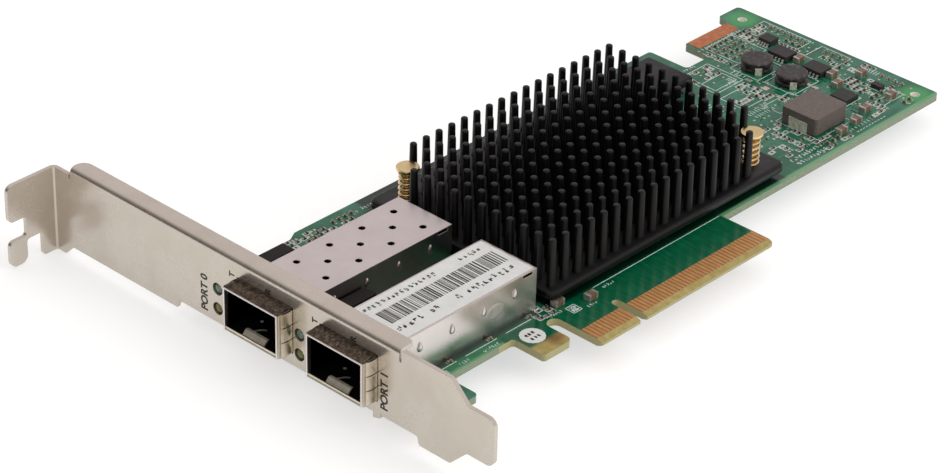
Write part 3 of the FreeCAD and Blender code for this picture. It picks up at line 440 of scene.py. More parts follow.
# Rounded outline: at each corner an arc from one side's end to the next one's start, with outward normals
def roundedOutline(corners, steps):
    corners = np.asarray(corners, float)
    here, radius = corners[:, :2], corners[:, 2]
    before = np.roll(here, 1, 0) - here
    after = np.roll(here, -1, 0) - here
    before /= np.linalg.norm(before, axis=1, keepdims=True)
    after /= np.linalg.norm(after, axis=1, keepdims=True)
    bend = np.sign(before[:, 1] * after[:, 0] - before[:, 0] * after[:, 1])
    half = np.arccos(np.clip((before * after).sum(1), -1, 1)) / 2
    middle = (before + after) / np.linalg.norm(before + after, axis=1, keepdims=True)
    centre = here + middle * (radius / np.sin(half))[:, None]
    start = here + before * (radius / np.tan(half))[:, None] - centre
    angle = np.arctan2(start[:, 1], start[:, 0])[:, None]
    angle = angle + (bend * (np.pi - 2 * half))[:, None] * np.linspace(0, 1, steps)
    spoke = np.stack([np.cos(angle), np.sin(angle)], -1)
    points = centre[:, None] + radius[:, None, None] * spoke
    return points.reshape(-1, 2), (spoke * bend[:, None, None]).reshape(-1, 2)


# The plate: its outline drawn in by the inset of each step of the edge profile, at that step's height
def plateSurface(corners, edge, steps):
    outline, normals = roundedOutline(corners, steps)
    edge = np.asarray(edge, float)
    points = np.empty((len(edge), len(outline), 3))
    points[..., :2] = outline[None] - edge[:, :1, None] * normals[None]
    points[..., 2] = edge[:, 1:]
    return capped(points)


# Pins stand on a grid, apart from a bare corner round each push-pin
def makeHeatSink():
    h = heatSink
    column, row = np.meshgrid(np.arange(h["columns"]), np.arange(h["rows"]), indexing="ij")
    frontBare = (column < h["bare"]) & (row < h["bare"])
    rearBare = (column >= h["columns"] - h["bare"]) & (row >= h["rows"] - h["bare"])
    keep = ~(frontBare | rearBare)
    x, y = h["first"]
    places = np.stack([x + h["pitch"] * column[keep], y - h["pitch"] * row[keep]], -1)
    pins = copies(lathe(h["pin"], h["pinSides"]), raised(places, 0.0))
    plate = plateSurface(h["corners"], h["edge"], h["arcSteps"])
    buildPiece("pinFinHeatSink", [plate, pins], "blackAnodisedAluminium", ["heat_sink"],
               sharp=50)
    print("heat sink:", len(places), "pins")


makeHeatSink()

# the pin as radius and height, then its spring
pushPin = {
    "sides": 40,
    "profile": ((0.6, -4.07), (1.85, -1.67), (1.2, -1.67), (1.2, 9.7), (1.75, 9.7), (1.91, 9.76),
        (2.3, 10.3), (2.4, 10.5), (2.4, 10.78), (2.33, 10.94), (2.18, 11.0), (1.5, 10.97)),
    "meanR": 1.63, "wireR": 0.28, "low": 3.3, "height": 6.4, "turns": 5.5, "closed": 0.75, "steps": 30,
    "wireSides": 10}


# The spring: a circle of wire carried along a helix whose first and last turns lie closed
def springSurface(x, y):
    p = pushPin
    turn = np.linspace(0, p["turns"], int(p["turns"] * p["steps"]) + 1)
    tight = 2 * p["wireR"]
    loose = (p["height"] - tight - 2 * p["closed"] * tight) / (p["turns"] - 2 * p["closed"])
    start = np.minimum(turn, p["closed"])
    end = np.maximum(turn - p["turns"] + p["closed"], 0)
    z = p["low"] + p["wireR"] + tight * (start + end) + loose * (turn - start - end)
    wire = np.linspace(0, 2 * np.pi, p["wireSides"], endpoint=False)
    reach = p["meanR"] + p["wireR"] * np.cos(wire)[None]
    angle = (2 * np.pi * turn)[:, None]
    return inverted(capped(np.stack([x + reach * np.cos(angle), y + reach * np.sin(angle),
                                     z[:, None] + p["wireR"] * np.sin(wire)[None]], -1)))


for end in ("front", "rear"):
    place = sum(span(f"push_pin_{end}"))[:2] / 2
    pin = lathe(pushPin["profile"], pushPin["sides"], place)
    buildPiece("pushPin" + end.title(), [pin], "turnedBrass", [f"push_pin_{end}"])
    buildPiece("coilSpring" + end.title(), [springSurface(*place)], "springWire",
               [f"spring_{end}"], sharp=60)
print("push-pins and springs made")

drum = {
    "sides": 48,
    "profile": ((3.2, 0.2), (3.5, 0.32), (3.55, 0.5), (3.5, 0.82), (3.3, 0.92), (2.85, 1.0), (2.95, 1.2),
        (2.85, 1.4), (2.95, 1.6), (2.85, 1.75), (3.3, 1.82), (3.5, 1.92), (3.55, 2.1), (3.5, 2.32),
        (3.3, 2.46), (3.0, 2.5), (2.2, 2.44))}
for end in ("upper", "lower"):
    core = lathe(drum["profile"], drum["sides"], sum(span(f"inductor_{end}"))[:2] / 2)
    buildPiece("woundDrum" + end.title(), [core], "ferrite", [f"inductor_{end}"])

lens = {
    "recess": 0.2, "rise": 0.5, "slim": 0.84, "tip": 0.04, "sides": 36, "steps": 8,
    "kinds": {"link": ("greenLens", "green_lens"), "activity": ("yellowLens", "yellow_lens")}}


# A lens: an ellipse's quarter turned round the X axis, on a short straight barrel
def lensSurface(low, high):
    front, radius = low[0] + lens["recess"], lens["slim"] * (high[1] - low[1]) / 2
    a = np.linspace(lens["tip"], np.pi / 2, lens["steps"])
    dome = np.stack([radius * np.sin(a), front + lens["rise"] * (1 - np.cos(a))], -1)
    points, faces = lathe(np.concatenate([dome, [[radius, high[0]]]]), lens["sides"])
    y, z = (low + high)[1:] / 2
    return np.stack([points[:, 2], y + points[:, 0], z + points[:, 1]], -1), faces


for kind, (finish, slot) in lens["kinds"].items():
    for i in (0, 1):
        node = f"{kind}_lens_{i}"
        buildPiece(f"{kind}Lens{i}", [lensSurface(*span(node))], finish, [node])
print("inductors and lenses made")

# the bow ends at "bowEnd" of a finger's length; the lip is its depth, height, foot and shortening
collar = {
    "proud": 0.25, "rim": 0.9, "overhang": 0.32, "thick": 0.12, "off": 0.02, "bow": 0.3, "bowEnd": 0.72,
    "bowPower": 0.8, "slit": 0.22, "topSlit": 0.1, "across": 6, "upright": 3, "steps": 12, "ragged": 0.35,
    "lip": (0.22, 0.5, 0.3, 0.6)}


# Spring fingers: strips bowed outwards along X, each carried straight across its width. The bow is a half
# sine that ends before the bracket, and each finger ends a little short by chance.
def fingers(low, high, count, reach, slit, ragged):
    c = collar
    along = np.linspace(0, 1, c["steps"])
    start = low[0] + c["rim"] / 2
    ends = high[0] - ragged * rng.random((count, 1))
    x = start + (ends - start) * along
    rise = np.sin(np.pi * np.minimum(along / c["bowEnd"], 1)) ** c["bowPower"]
    lift = np.broadcast_to(c["off"] + c["bow"] * rise, x.shape)
    section = np.concatenate([np.stack([x, lift + c["thick"]], -1), np.stack([x, lift], -1)[:, ::-1]], 1)
    edges = np.linspace(-reach, reach, count + 1)
    sides = np.stack([edges[:-1] + slit / 2, edges[1:] - slit / 2], -1)
    size = 2 * c["steps"]
    points = np.empty((count, 2, size, 3))
    points[..., 0] = section[:, None, :, 0]
    points[..., 1] = sides[:, :, None]
    points[..., 2] = section[:, None, :, 1]
    return points.reshape(-1, 3), repeatFaces(capped(points[0])[1], 2 * size, count)


def turnPart(part, across, up, origin):  # a part whose Y and Z run along two given directions
    points, faces = part
    axes = np.array([(1, 0, 0), across, up], float)
    placed = points @ axes + np.asarray(origin)
    return (placed, faces) if np.linalg.det(axes) > 0 else inverted((placed, faces))


def makeCollars():
    c = collar
    for i, (low, high) in enumerate(ports):
        y, half, tall = (low[1] + high[1]) / 2, (high[1] - low[1]) / 2 - c["proud"], high[2] - c["proud"]
        wide = fingers(low, high, c["across"], half, c["slit"], 0)
        upright = fingers(low, high, c["upright"], tall / 2, c["slit"], 0)
        top = fingers(low, high, c["across"], half, c["topSlit"], c["ragged"])
        top = turnPart(top, (0, 1, 0), (0, 0, 1), (0, y, tall))
        rest = [turnPart(wide, (0, 1, 0), (0, 0, -1), (0, y, 0)),
                turnPart(upright, (0, 0, 1), (0, 1, 0), (0, y + half, tall / 2)),
                turnPart(upright, (0, 0, 1), (0, -1, 0), (0, y - half, tall / 2))]
        mid, t, rim = low[0] + c["rim"] / 2, c["thick"], c["rim"]
        width = 2 * half + 2 * t
        lipDeep, lipTall, lipFoot, lipShort = c["lip"]
        lipX = low[0] - c["overhang"] + lipDeep / 2
        rest.append(boxes([(mid, y, -t / 2), (mid, y - half - t / 2, tall / 2),
                           (mid, y + half + t / 2, tall / 2), (lipX, y, lipFoot + lipTall / 2)],
                          [(rim, width, t), (rim, t, tall), (rim, t, tall),
                           (lipDeep, 2 * half - lipShort, lipTall)]))
        cover = boxes((mid - c["overhang"] / 2, y, tall + t / 2), (rim + c["overhang"], width, t))
        buildPiece(f"shieldFingers{i}", rest, "tinnedSpringSheet", [f"emi_collar_{i}"],
                   sharp=40)
        # the top fingers carry a painted dark reflection in their finish
        buildPiece(f"shieldTopFingers{i}", [top, cover], "paintedReflectionSpringSheet", sharp=40)


makeCollars()
print("shield fingers made")

chips = {"end": 0.22, "slim": 0.95, "sink": 0.012, "pad": (0.45, 0.66, 0.03), "padOut": 0.55}


def solidBoxes(node, corners=24):  # lowest and highest corner of each of a node's like solids
    mesh = nodes[node].data
    points = np.empty(len(mesh.vertices) * 3)
    mesh.vertices.foreach_get("co", points)
    points = points.reshape(-1, corners, 3) / mm
    return points.min(1), points.max(1)


# Chips: a body between two tinned ends along its longer way, on two pads
def makeChips():
    c = chips
    low, high = solidBoxes("small_chips")
    middle, size = (low + high) / 2, high - low
    longWay = (size[:, :2] == size[:, :2].max(1, keepdims=True)).astype(float)
    axis = raised(longWay, 0.0)
    across = np.array([1.0, 1.0, 0.0]) - axis
    reach = (size * axis).sum(1, keepdims=True)
    body = boxes(middle - [0, 0, c["sink"]], size * c["slim"] - 2 * c["end"] * axis)
    endSize = size * (1 - axis) + c["end"] * axis
    ends = [boxes(middle + side * axis * (reach - c["end"]) / 2, endSize) for side in (-1, 1)]
    padLong, padWide, padThick = c["pad"]
    feet = middle * [1, 1, 0] + [0, 0, padThick / 2]
    padSize = padLong * axis + padWide * across + [0, 0, padThick]
    chipPads = [boxes(feet + side * axis * reach * c["padOut"], padSize) for side in (-1, 1)]
    buildPiece("smallChipBodies", [body], "chipCeramic", ["small_chips"], bevelMm=0.04)
    buildPiece("smallChipEnds", ends, "solderTin", bevelMm=0.05)
    buildPiece("smallChipPads", chipPads, "bareTinPad")
    return low, high


chipLow, chipHigh = makeChips()
print("small chips:", len(chipLow))

legend = {"z": 0.012, "thick": 0.024, "line": 0.16}


def strokes(rows, z=legend["z"], thick=legend["thick"]):  # flat bars from x0, y0 to x1, y1, at the height z
    r = np.asarray(rows, float)
    start, end = r[:, :2], r[:, 2:]
    size = np.maximum(np.abs(end - start), legend["line"])
    return boxes(raised((start + end) / 2, z), raised(size, thick))


def frames(rows):  # the four bars of each rectangle
    x0, y0, x1, y1 = np.asarray(rows, float).T
    bars = ((x0, y0, x1, y0), (x0, y1, x1, y1), (x0, y0, x0, y1), (x1, y0, x1, y1))
    return np.concatenate([np.stack(bar, -1) for bar in bars])


# shares of a mark's height for its width, pen and strokes, and of its width for its step and level strokes
mark = {
    "wide": 0.6, "pen": 0.17, "step": 1.35, "kept": 0.93, "foot": 0.5, "upright": (0.35, 0.5), "left": 0.4,
    "level": (0.4, 0.6)}


# A printed line of marks that nobody can read: two upright and two level strokes each, placed by chance
def printedLine(x, y, length, tall):
    wide, pen = tall * mark["wide"], tall * mark["pen"]
    start = np.arange(int(length / (wide * mark["step"]))) * wide * mark["step"]
    start = start[rng.random(len(start)) < mark["kept"], None]
    pair = (len(start), 2)
    left, foot = start + rng.uniform(0, wide - pen, pair), tall * rng.uniform(0, mark["foot"], pair)
    upright = np.stack([left, foot, left + pen, foot + tall * rng.uniform(*mark["upright"], pair)], -1)
    left, foot = start + wide * rng.uniform(0, mark["left"], pair), rng.uniform(0, tall - pen, pair)
    level = np.stack([left, foot, left + wide * rng.uniform(*mark["level"], pair), foot + pen], -1)
    return np.concatenate([upright, level]).reshape(-1, 4) + [x, y, x, y]


legendPlan = {
    # x from, y from, x to, y to
    "lines": ((0.7, 13.8, 38.8, 13.8), (-42, 14.7, -36.5, 14.7), (-34, 14.7, -25.5, 14.7),
        (-23, 14.7, -16, 14.7)),
    "outlines": ((-42.2, 12.95, -40.2, 14), (77, 46.5, 86, 56.5), (78, 47.5, 85, 51.5), (76, 38, 83, 44.5),
        (91, 51.5, 100, 61.4), (104.6, 47, 110.2, 60.4), (104, 36, 110.2, 44), (77, 19, 88.5, 30.2),
        (92.6, 23.6, 97.8, 28.8), (97.8, 18.2, 105.6, 20.5), (102.8, 22.3, 105.2, 25.7),
        (88, 44, 96.8, 51.8), (88.4, 34.6, 97.2, 42.6), (80.2, 31.5, 88.8, 36)),
    # lines of marks: x, y, length, height
    "text": ((66, 16.7, 11, 1.15), (66.5, 15, 10, 1.15), (-30.5, 13, 5, 0.9), (-37, 13.1, 3.4, 0.9),
        (-12.8, 12.2, 3.6, 0.8), (-5, 9.6, 3, 0.8), (1.5, 12.2, 4, 0.8), (79, 57.4, 5, 0.9),
        (62.5, 45.5, 10, 0.9), (62.5, 43.8, 9, 0.9), (76, 36.3, 6, 0.8), (88.6, 31.4, 6, 0.8),
        (-12, 65.6, 14, 1.0), (6, 65.8, 12, 0.9), (-46, 62.6, 12, 1.2)),
    # a square of random cells: x, y, size, cells, share filled, room to its frame
    "square": (-8.35, 10.55, 1.7, 9, 0.5, 0.3),
    # rows of short bars: x, y, number, step along X and Y, length along X and Y
    "combs": ((86.2, 50.2, 4, 0.2, -1, 1.5, 0), (89, 61, 9, 1.15, 0, 0, 0.8),
        (88.8, 59.4, 9, 1.15, 0, 0, 0.8), (83.3, 49, 5, 0, -0.55, 1.3, 0), (75, 35.2, 8, 0.8, 0, 0, 1),
        (75.4, 33.6, 8, 0.8, 0, 0, 1), (108, 31.2, 6, 0, -0.7, 1.7, 0), (105.4, 41.3, 8, 0, -0.75, 1.2, 0),
        (85.6, 15.2, 10, 1, 0, 0.6, 0), (85.9, 16.3, 9, 1.05, 0, 0, 0.7), (71.2, 40.6, 6, 0, 0.75, 1.4, 0),
        (109.6, 46.4, 12, 0, 1.1, 0.7, 0), (99.4, 61, 5, 0.85, 0, 0, 0.8)),
    # bright solder plates: x, y, length along X and Y, and their thickness
    "plates": ((86.7, 45.5, 1.0, 1.7), (86.4, 40.6, 1.5, 1.5), (85.7, 35.9, 1.0, 1.7),
        (99.0, 42.9, 0.9, 1.6), (101.1, 18.8, 0.9, 1.4), (94.4, 35.0, 0.9, 1.3), (94.4, 33.2, 0.9, 1.3)),
    "plateThick": 0.08,
    # places thick with small parts: x from, y from, x to, y to, share of cells filled, 1 for parts along Y
    "clusters": ((89.4, 52, 100.5, 59, 0.94, 0), (104.4, 46.4, 109.2, 60.4, 0.94, 0),
        (98.8, 57, 104.4, 61.6, 0.9, 1), (77.6, 52.2, 85.5, 56.2, 0.7, 0), (82.6, 38, 85.6, 45.6, 0.8, 1),
        (105.2, 35.2, 108.4, 41.4, 0.9, 1), (99.8, 20, 105.4, 30.6, 0.92, 1),
        (106.4, 20.8, 110, 34.4, 0.55, 0), (66, 19, 76.5, 31, 0.45, 0), (84, 31.4, 93, 36, 0.7, 1),
        (76.2, 15.2, 84.6, 18.6, 0.85, 0), (92.6, 17, 98.4, 20.6, 0.85, 0), (100, 62, 101, 63, 0.9, 0),
        (-30, 62.4, -13, 67.4, 0.6, 0), (-14.5, 13.4, -9.5, 17, 0.7, 0), (88, 44.2, 91, 47, 0.8, 1),
        (77.4, 38.6, 82, 43.8, 0.5, 1))}


def makeLegend():
    p = legendPlan
    parts = [strokes(p["lines"]), strokes(frames(p["outlines"]))]
    parts += [strokes(printedLine(*line)) for line in p["text"]]
    x, y, size, cells, share, room = p["square"]
    spots = np.argwhere(rng.random((cells, cells)) < share) * size / cells + [x, y]
    parts.append(strokes(np.concatenate([spots, spots + size / cells], 1)))
    parts.append(strokes(frames([(x - room, y - room, x + size + room, y + size + room)])))
    for x, y, count, stepX, stepY, runX, runY in p["combs"]:
        start = np.arange(count)[:, None] * [stepX, stepY] + [x, y]
        parts.append(strokes(np.concatenate([start, start + [runX, runY]], 1)))
    return parts


# a cell with its small part, pads and frame, each as a length along the part and one across it
cluster = {
    "cell": (1.72, 1.12), "stray": 0.1, "apart": 0.9, "part": (0.95, 0.5, 0.3), "framed": 0.75,
    "filled": 0.72, "frame": (0.78, 0.46), "padAt": 0.46, "pad": (0.5, 0.66), "padThick": 0.04,
    "body": (0.6, 0.94), "endAt": 0.4, "end": (0.2, 1.0), "endTall": 1.04, "clear": (1.0, 0.75),
    "leadCorners": 48}


def nearHole(spots):  # whether each spot lies on or beside one of the two rear holes
    far = np.linalg.norm(spots[:, None] - np.array(board["holes"])[None], axis=2)
    return (far < board["holeClear"]).any(1)


# Cells of a grid over each place, moved a little by chance, and left out where an earlier one lies too near
def clusterCells(places):
    c = cluster
    cells, turned = [], []
    for x0, y0, x1, y1, share, way in places:
        step = c["cell"][::-1] if way else c["cell"]
        column, row = np.meshgrid(np.arange(x0, x1, step[0]), np.arange(y0, y1, step[1]), indexing="ij")
        spots = np.stack([column.ravel(), row.ravel()], -1)
        spots = spots[rng.random(len(spots)) < share]
        cells.append(spots + rng.uniform(-1, 1, spots.shape) * c["stray"])
        turned.append(np.full(len(spots), way == 1))
    cells, turned = np.concatenate(cells), np.concatenate(turned)
    near = (np.abs(cells[:, None] - cells[None]) < c["apart"]).all(2)
    first = ~np.triu(near, 1).any(0)
    return cells[first], turned[first]


def freeCells():  # cells of the clusters that no other part covers
    covers = [(chipLow, chipHigh), solidBoxes("capacitor_ends"), solidBoxes("regulator_bodies"),
              solidBoxes("regulator_leads", cluster["leadCorners"])]
    covers += [span(node) for node in ("inductor_upper", "inductor_lower", "inductor_square")]
    low, high = [np.concatenate([np.atleast_2d(cover[i])[:, :2] for cover in covers]) for i in (0, 1)]
    low, high = low - cluster["clear"], high + cluster["clear"]
    cells, turned = clusterCells(legendPlan["clusters"])
    covered = ((cells[:, None] > low[None]) & (cells[:, None] < high[None])).all(2).any(1) | nearHole(cells)
    return cells[~covered], turned[~covered]


# Each cell of a cluster: two bright pads, a white frame, and mostly a small dark part with tinned ends
def clusterParts(cells, turned):
    c = cluster
    wide, deep, tall = c["part"]
    along = np.where(turned[:, None], [0.0, 1.0], [1.0, 0.0])
    across = 1 - along
    half = c["frame"][0] * along + c["frame"][1] * across
    framed = rng.random(len(cells)) < c["framed"]
    rims = strokes(frames(np.concatenate([cells - half, cells + half], 1)[framed]))
    padSize = raised(c["pad"][0] * along + c["pad"][1] * across, c["padThick"])
    pads = [boxes(raised(cells + side * c["padAt"] * along, c["padThick"] / 2), padSize) for side in (-1, 1)]
    filled = rng.random(len(cells)) < c["filled"]
    cells, along, across = cells[filled], along[filled], across[filled]
    bodySize = raised(wide * c["body"][0] * along + deep * c["body"][1] * across, tall)
    endSize = raised(wide * c["end"][0] * along + deep * c["end"][1] * across, tall * c["endTall"])
    body = boxes(raised(cells, tall / 2), bodySize)
    ends = [boxes(raised(cells + side * wide * c["endAt"] * along, tall / 2), endSize) for side in (-1, 1)]
    return rims, pads, body, ends


def makeClusters(legendParts):
    cells, turned = freeCells()
    rims, pads, body, ends = clusterParts(cells, turned)
    plates, thick = np.array(legendPlan["plates"]), legendPlan["plateThick"]
    pads.append(boxes(raised(plates[:, :2], thick / 2), raised(plates[:, 2:], thick)))
    buildPiece("clusterPads", pads, "bareTinPad")
    buildPiece("resistorBodies", [body], "epoxyMoulding")
    buildPiece("resistorEnds", ends, "solderTin")
    buildPiece("boardLegend", legendParts + [rims], "legendInk", sharp=30)
    return cells


smallParts = makeClusters(makeLegend())
print("small parts in clusters:", len(smallParts))

# the heat sink covers what lies before the first value of "sink" in X and past the second in Y
via = {
    "outer": 0.28, "inner": 0.13, "thick": 0.02, "rim": 0.8, "sides": 8, "count": 260, "x": (62.0, 110.0),
    "y": (14.8, 57.5), "apart": 1.2, "sink": (76, 50)}
viaRing = lathe(((via["outer"], 0.0), (via["outer"], via["thick"]),
                 (via["inner"], via["thick"] * via["rim"])), via["sides"])


# Vias: flat plated rings, scattered where the board is bare
def makeVias():
    spots = np.stack([rng.uniform(*via["x"], via["count"]), rng.uniform(*via["y"], via["count"])], -1)
    apart = np.linalg.norm(spots[:, None] - smallParts[None], axis=2).min(1) > via["apart"]
    underSink = (spots[:, 0] < via["sink"][0]) & (spots[:, 1] > via["sink"][1])
    spots = raised(spots[apart & ~underSink & ~nearHole(spots)], 0.0)
    buildPiece("viaRings", [copies(viaRing, spots)], "bareTinPad", sharp=30)


makeVias()

tracks = {
    "z": 0.006, "thick": 0.014, "width": 0.3, "count": 120, "x": (62.0, 108.0), "y": (15.0, 57.0),
    "run": (3, 9), "rise": (2, 6), "slant": 0.4, "endX": 110, "endY": (14.8, 57.5), "sink": (77, 49)}


# Tracks: a strip of constant width carried along a path of straight runs with slanted bends
def trackStrips(paths):
    run = np.diff(paths, axis=1)
    run /= np.linalg.norm(run, axis=2, keepdims=True)
    along = np.concatenate([run[:, :1], run[:, 1:] + run[:, :-1], run[:, -1:]], 1)
    along /= np.linalg.norm(along, axis=2, keepdims=True)
    side = np.stack([-along[..., 1], along[..., 0]], -1) * tracks["width"] / 2
    z = np.full(paths.shape[:2] + (1,), tracks["z"] + tracks["thick"] / 2)
    left, right = np.concatenate([paths + side, z], 2), np.concatenate([paths - side, z], 2)
    drop = np.array([0, 0, tracks["thick"]])
    points = np.stack([left, right, right - drop, left - drop], 2)
    strip, faces = inverted(capped(points[0]))
    return points.reshape(-1, 3), repeatFaces(faces, len(strip), len(points))


def makeTracks():
    t, count = tracks, tracks["count"]
    start = np.stack([rng.uniform(*t["x"], count), rng.uniform(*t["y"], count)], -1)
    run = rng.uniform(*t["run"], count)
    rise = rng.uniform(*t["rise"], count) * rng.choice([-1, 1], count)
    middle = start + np.stack([run, run * 0], -1)
    turn = middle + np.stack([np.abs(rise), rise], -1) * t["slant"]
    end = turn + np.stack([rise * 0, rise], -1)
    paths = np.stack([start, middle, turn, end], 1)
    clear = (end[:, 1] > t["endY"][0]) & (end[:, 1] < t["endY"][1]) & (end[:, 0] < t["endX"])
    clear &= ~((start[:, 0] < t["sink"][0]) & (np.maximum(start[:, 1], end[:, 1]) > t["sink"][1]))
    clear &= ~(nearHole(start) | nearHole(middle) | nearHole(turn) | nearHole(end))
    buildPiece("copperTracks", [trackStrips(paths[clear])], "maskedCopper", sharp=30)


makeTracks()
print("legend, clusters, vias and tracks made")

under = {
    "pitch": 1.27, "share": 0.82, "count": 23,
    "clusters": ((8, 22, 13, 57, 0.8, 0), (46, 22, 52, 57, 0.8, 0), (15, 58, 44, 62, 0.7, 1),
        (15, 17, 44, 21, 0.7, 1), (80, 20, 104, 32, 0.4, 0), (78, 38, 104, 58, 0.35, 1),
        (-30, 32.5, -14, 37, 0.6, 0), (60, 24, 72, 48, 0.3, 1)),
    "text": ((-40, 14.6, 9, 1.3), (-44, 63, 16, 1.4), (64, 16.4, 12, 1.3), (88, 34.4, 8, 1.1)),
    "outlines": ((12.6, 21.6, 45.6, 57.4), (76, 36.6, 105, 60), (78, 18.4, 105, 33))}


def turnOver(part):  # a part made for the top of the board, laid on its underside
    points, faces = inverted(part)
    return points * [1, 1, -1] + [0, 0, span("circuit_board")[0][2]], faces


# The underside: a grid of vias below the controller, with a clear cross, and small parts round it
def makeUnderside():
    u = under
    step = (np.arange(u["count"]) - (u["count"] - 1) / 2) * u["pitch"]
    x, y = [grid.ravel() for grid in np.meshgrid(step, step, indexing="ij")]
    clear = (np.minimum(np.abs(x), np.abs(y)) > u["pitch"]) & (rng.random(len(x)) < u["share"])
    middle = sum(span("controller_chip"))[:2] / 2
    spots = raised(np.stack([x, y], -1)[clear] + middle, 0.0)
    rims, pads, body, ends = clusterParts(*clusterCells(u["clusters"]))
    inkParts = [strokes(printedLine(*line)) for line in u["text"]] + [strokes(frames(u["outlines"])), rims]
    buildPiece("underVias", [turnOver(copies(viaRing, spots))], "bareTinPad", sharp=30)
    buildPiece("underPads", [turnOver(pad) for pad in pads], "bareTinPad")
    buildPiece("underBodies", [turnOver(body)], "chipCeramic")
    buildPiece("underEnds", [turnOver(end) for end in ends], "solderTin")
    buildPiece("underLegend", [turnOver(part) for part in inkParts], "legendInk", sharp=30)
    print("underside:", len(spots), "vias")


makeUnderside()

# bars and gaps are drawn from the lists of widths; rows of marks: y, x from, x to, height
label = {
    "z": 9.585, "thick": 0.012, "bars": (-46.6, -14.4), "band": (21.9, 26.4), "count": 130,
    "widths": (0.16, 0.16, 0.3, 0.42), "gaps": (0.14, 0.14, 0.26, 0.4),
    "rows": ((27.7, -48.6, -27.0, 1.5), (27.7, -21.5, -14.6, 1.5), (18.9, -48.6, -35.0, 1.8),
        (18.9, -31.5, -15.2, 1.8))}
# rows of marks about the disc's middle: x, y, length, height, and how often each is printed over itself
sticker = {"place": (-20.05, 10.6), "z": 0.0635, "thick": 0.017,
           "rows": ((-1.3, 0.2, 2.8, 1.1), (-1.2, -1.25, 2.8, 1.1)), "over": 3}


# Label print: bars of random width across a band, and lines of small marks on both sides of it
def makeLabelPrint():
    widths = rng.choice(label["widths"], label["count"])
    first, last = label["bars"]
    start = first + np.cumsum(widths + rng.choice(label["gaps"], label["count"])) - widths
    low, high = label["band"]
    bars = np.stack([start, start * 0 + low, start + widths, start * 0 + high], -1)[start + widths < last]
    lines = np.concatenate([printedLine(x0, y, x1 - x0, tall) for y, x0, x1, tall in label["rows"]])
    for name, rows, ink in (("labelBars", bars, "printInk"), ("labelLines", lines, "greyInk")):
        buildPiece(name, [strokes(rows, label["z"], label["thick"])], ink, sharp=30)


def makeStickerPrint():
    x, y = sticker["place"]
    rows = [printedLine(x + left, y + foot, length, tall)
            for left, foot, length, tall in sticker["rows"] * sticker["over"]]
    marks = strokes(np.concatenate(rows), sticker["z"], sticker["thick"])
    buildPiece("stickerMarks", [marks], "greyInk", sharp=30)


makeLabelPrint()
makeStickerPrint()

# lances along both sides of each cage, and one wide patch on the outer side
press = {
    "lanceX": (-44.8, -36.2, -27.6, -19.0), "lanceZ": 6.35, "lanceHalf": (0.6, 1.15), "lanceOut": 0.44,
    "lanceTaper": 0.45, "lancePower": 2, "patch": (-24.4, 4.8), "patchHalf": (2.45, 1.7), "patchOut": 0.1,
    "patchTaper": 0.0, "patchPower": 12, "rings": 7, "sides": 24, "tip": 0.04, "sunk": 0.01}


# A pressed boss on a cage's side: rings drawn in from an outline, each standing out by the root of one less
# the ring's share to a power, round for 2 and flat-topped for more. The outline is an ellipse, narrowed
# upwards to a drop.
def boss(x, z, half, out, taper, power, wall, side):
    p = press
    angle = np.linspace(0, 2 * np.pi, p["sides"], endpoint=False)
    s = np.linspace(1, p["tip"], p["rings"])[:, None]
    lift = out * np.sqrt(1 - s ** power) - p["sunk"]
    across = half[0] * np.cos(angle) * (1 - taper * np.sin(angle))
    part = capped(np.stack([x + s * across, np.broadcast_to(wall + side * lift, (p["rings"], p["sides"])),
                            z + s * half[1] * np.sin(angle)], -1))
    return part if side < 0 else inverted(part)


def makeBosses():
    p = press
    lance = (p["lanceZ"], p["lanceHalf"], p["lanceOut"], p["lanceTaper"], p["lancePower"])
    for i, (low, high) in enumerate(ports):
        walls = ((low[1] + collar["proud"], -1), (high[1] - collar["proud"], 1))
        lances = [boss(x, *lance, *wall) for x in p["lanceX"] for wall in walls]
        buildPiece(f"cageBosses{i}", lances, "nickelSilverSheet", sharp=60)
    outer = ports[1][0][1] + collar["proud"]
    patch = boss(*p["patch"], p["patchHalf"], p["patchOut"], p["patchTaper"], p["patchPower"], outer, -1)
    buildPiece("cagePatch", [patch], "pressedSheet", sharp=60)


makeBosses()
print("label, sticker and cage bosses made")

# places from the collar's lowest corner: the strip's ends and the button, a profile of radius and height
leaf = {
    "strip": (2.5, 10.0, 4.7, 8.4), "z": 0.3, "tall": 0.16, "wide": 0.36,
    "skin": (0.06, 0.06, -0.04, -0.04), "steps": 9, "button": ((0.36, 0.25), (0.36, 0.4), (0.18, 0.5)),
    "buttonAt": (6.1, 11.3), "sides": 16}


# Leaf springs on the floor of each cage: a thin strip bent up to a low crest, and a round button
def makeLeaves():
    q = leaf
    x0, y0, x1, y1 = q["strip"]
    s = np.linspace(0, 1, q["steps"])
    line = np.stack([x0 + (x1 - x0) * s, y0 + (y1 - y0) * s], -1)
    way = np.array([y0 - y1, x1 - x0]) / math.hypot(x1 - x0, y1 - y0) * q["wide"] / 2
    points = np.empty((q["steps"], 4, 3))
    points[..., :2] = np.stack([line + way, line - way, line - way, line + way], 1)
    points[..., 2] = (q["z"] + q["tall"] * np.sin(np.pi * s))[:, None] + q["skin"]
    parts = (lathe(q["button"], q["sides"], q["buttonAt"]), inverted(capped(points)))
    for i, (low, _) in enumerate(ports):
        placed = [copies(part, [(low[0], low[1], 0)]) for part in parts]
        buildPiece(f"leafSprings{i}", placed, "tinnedLead", sharp=50)


makeLeaves()

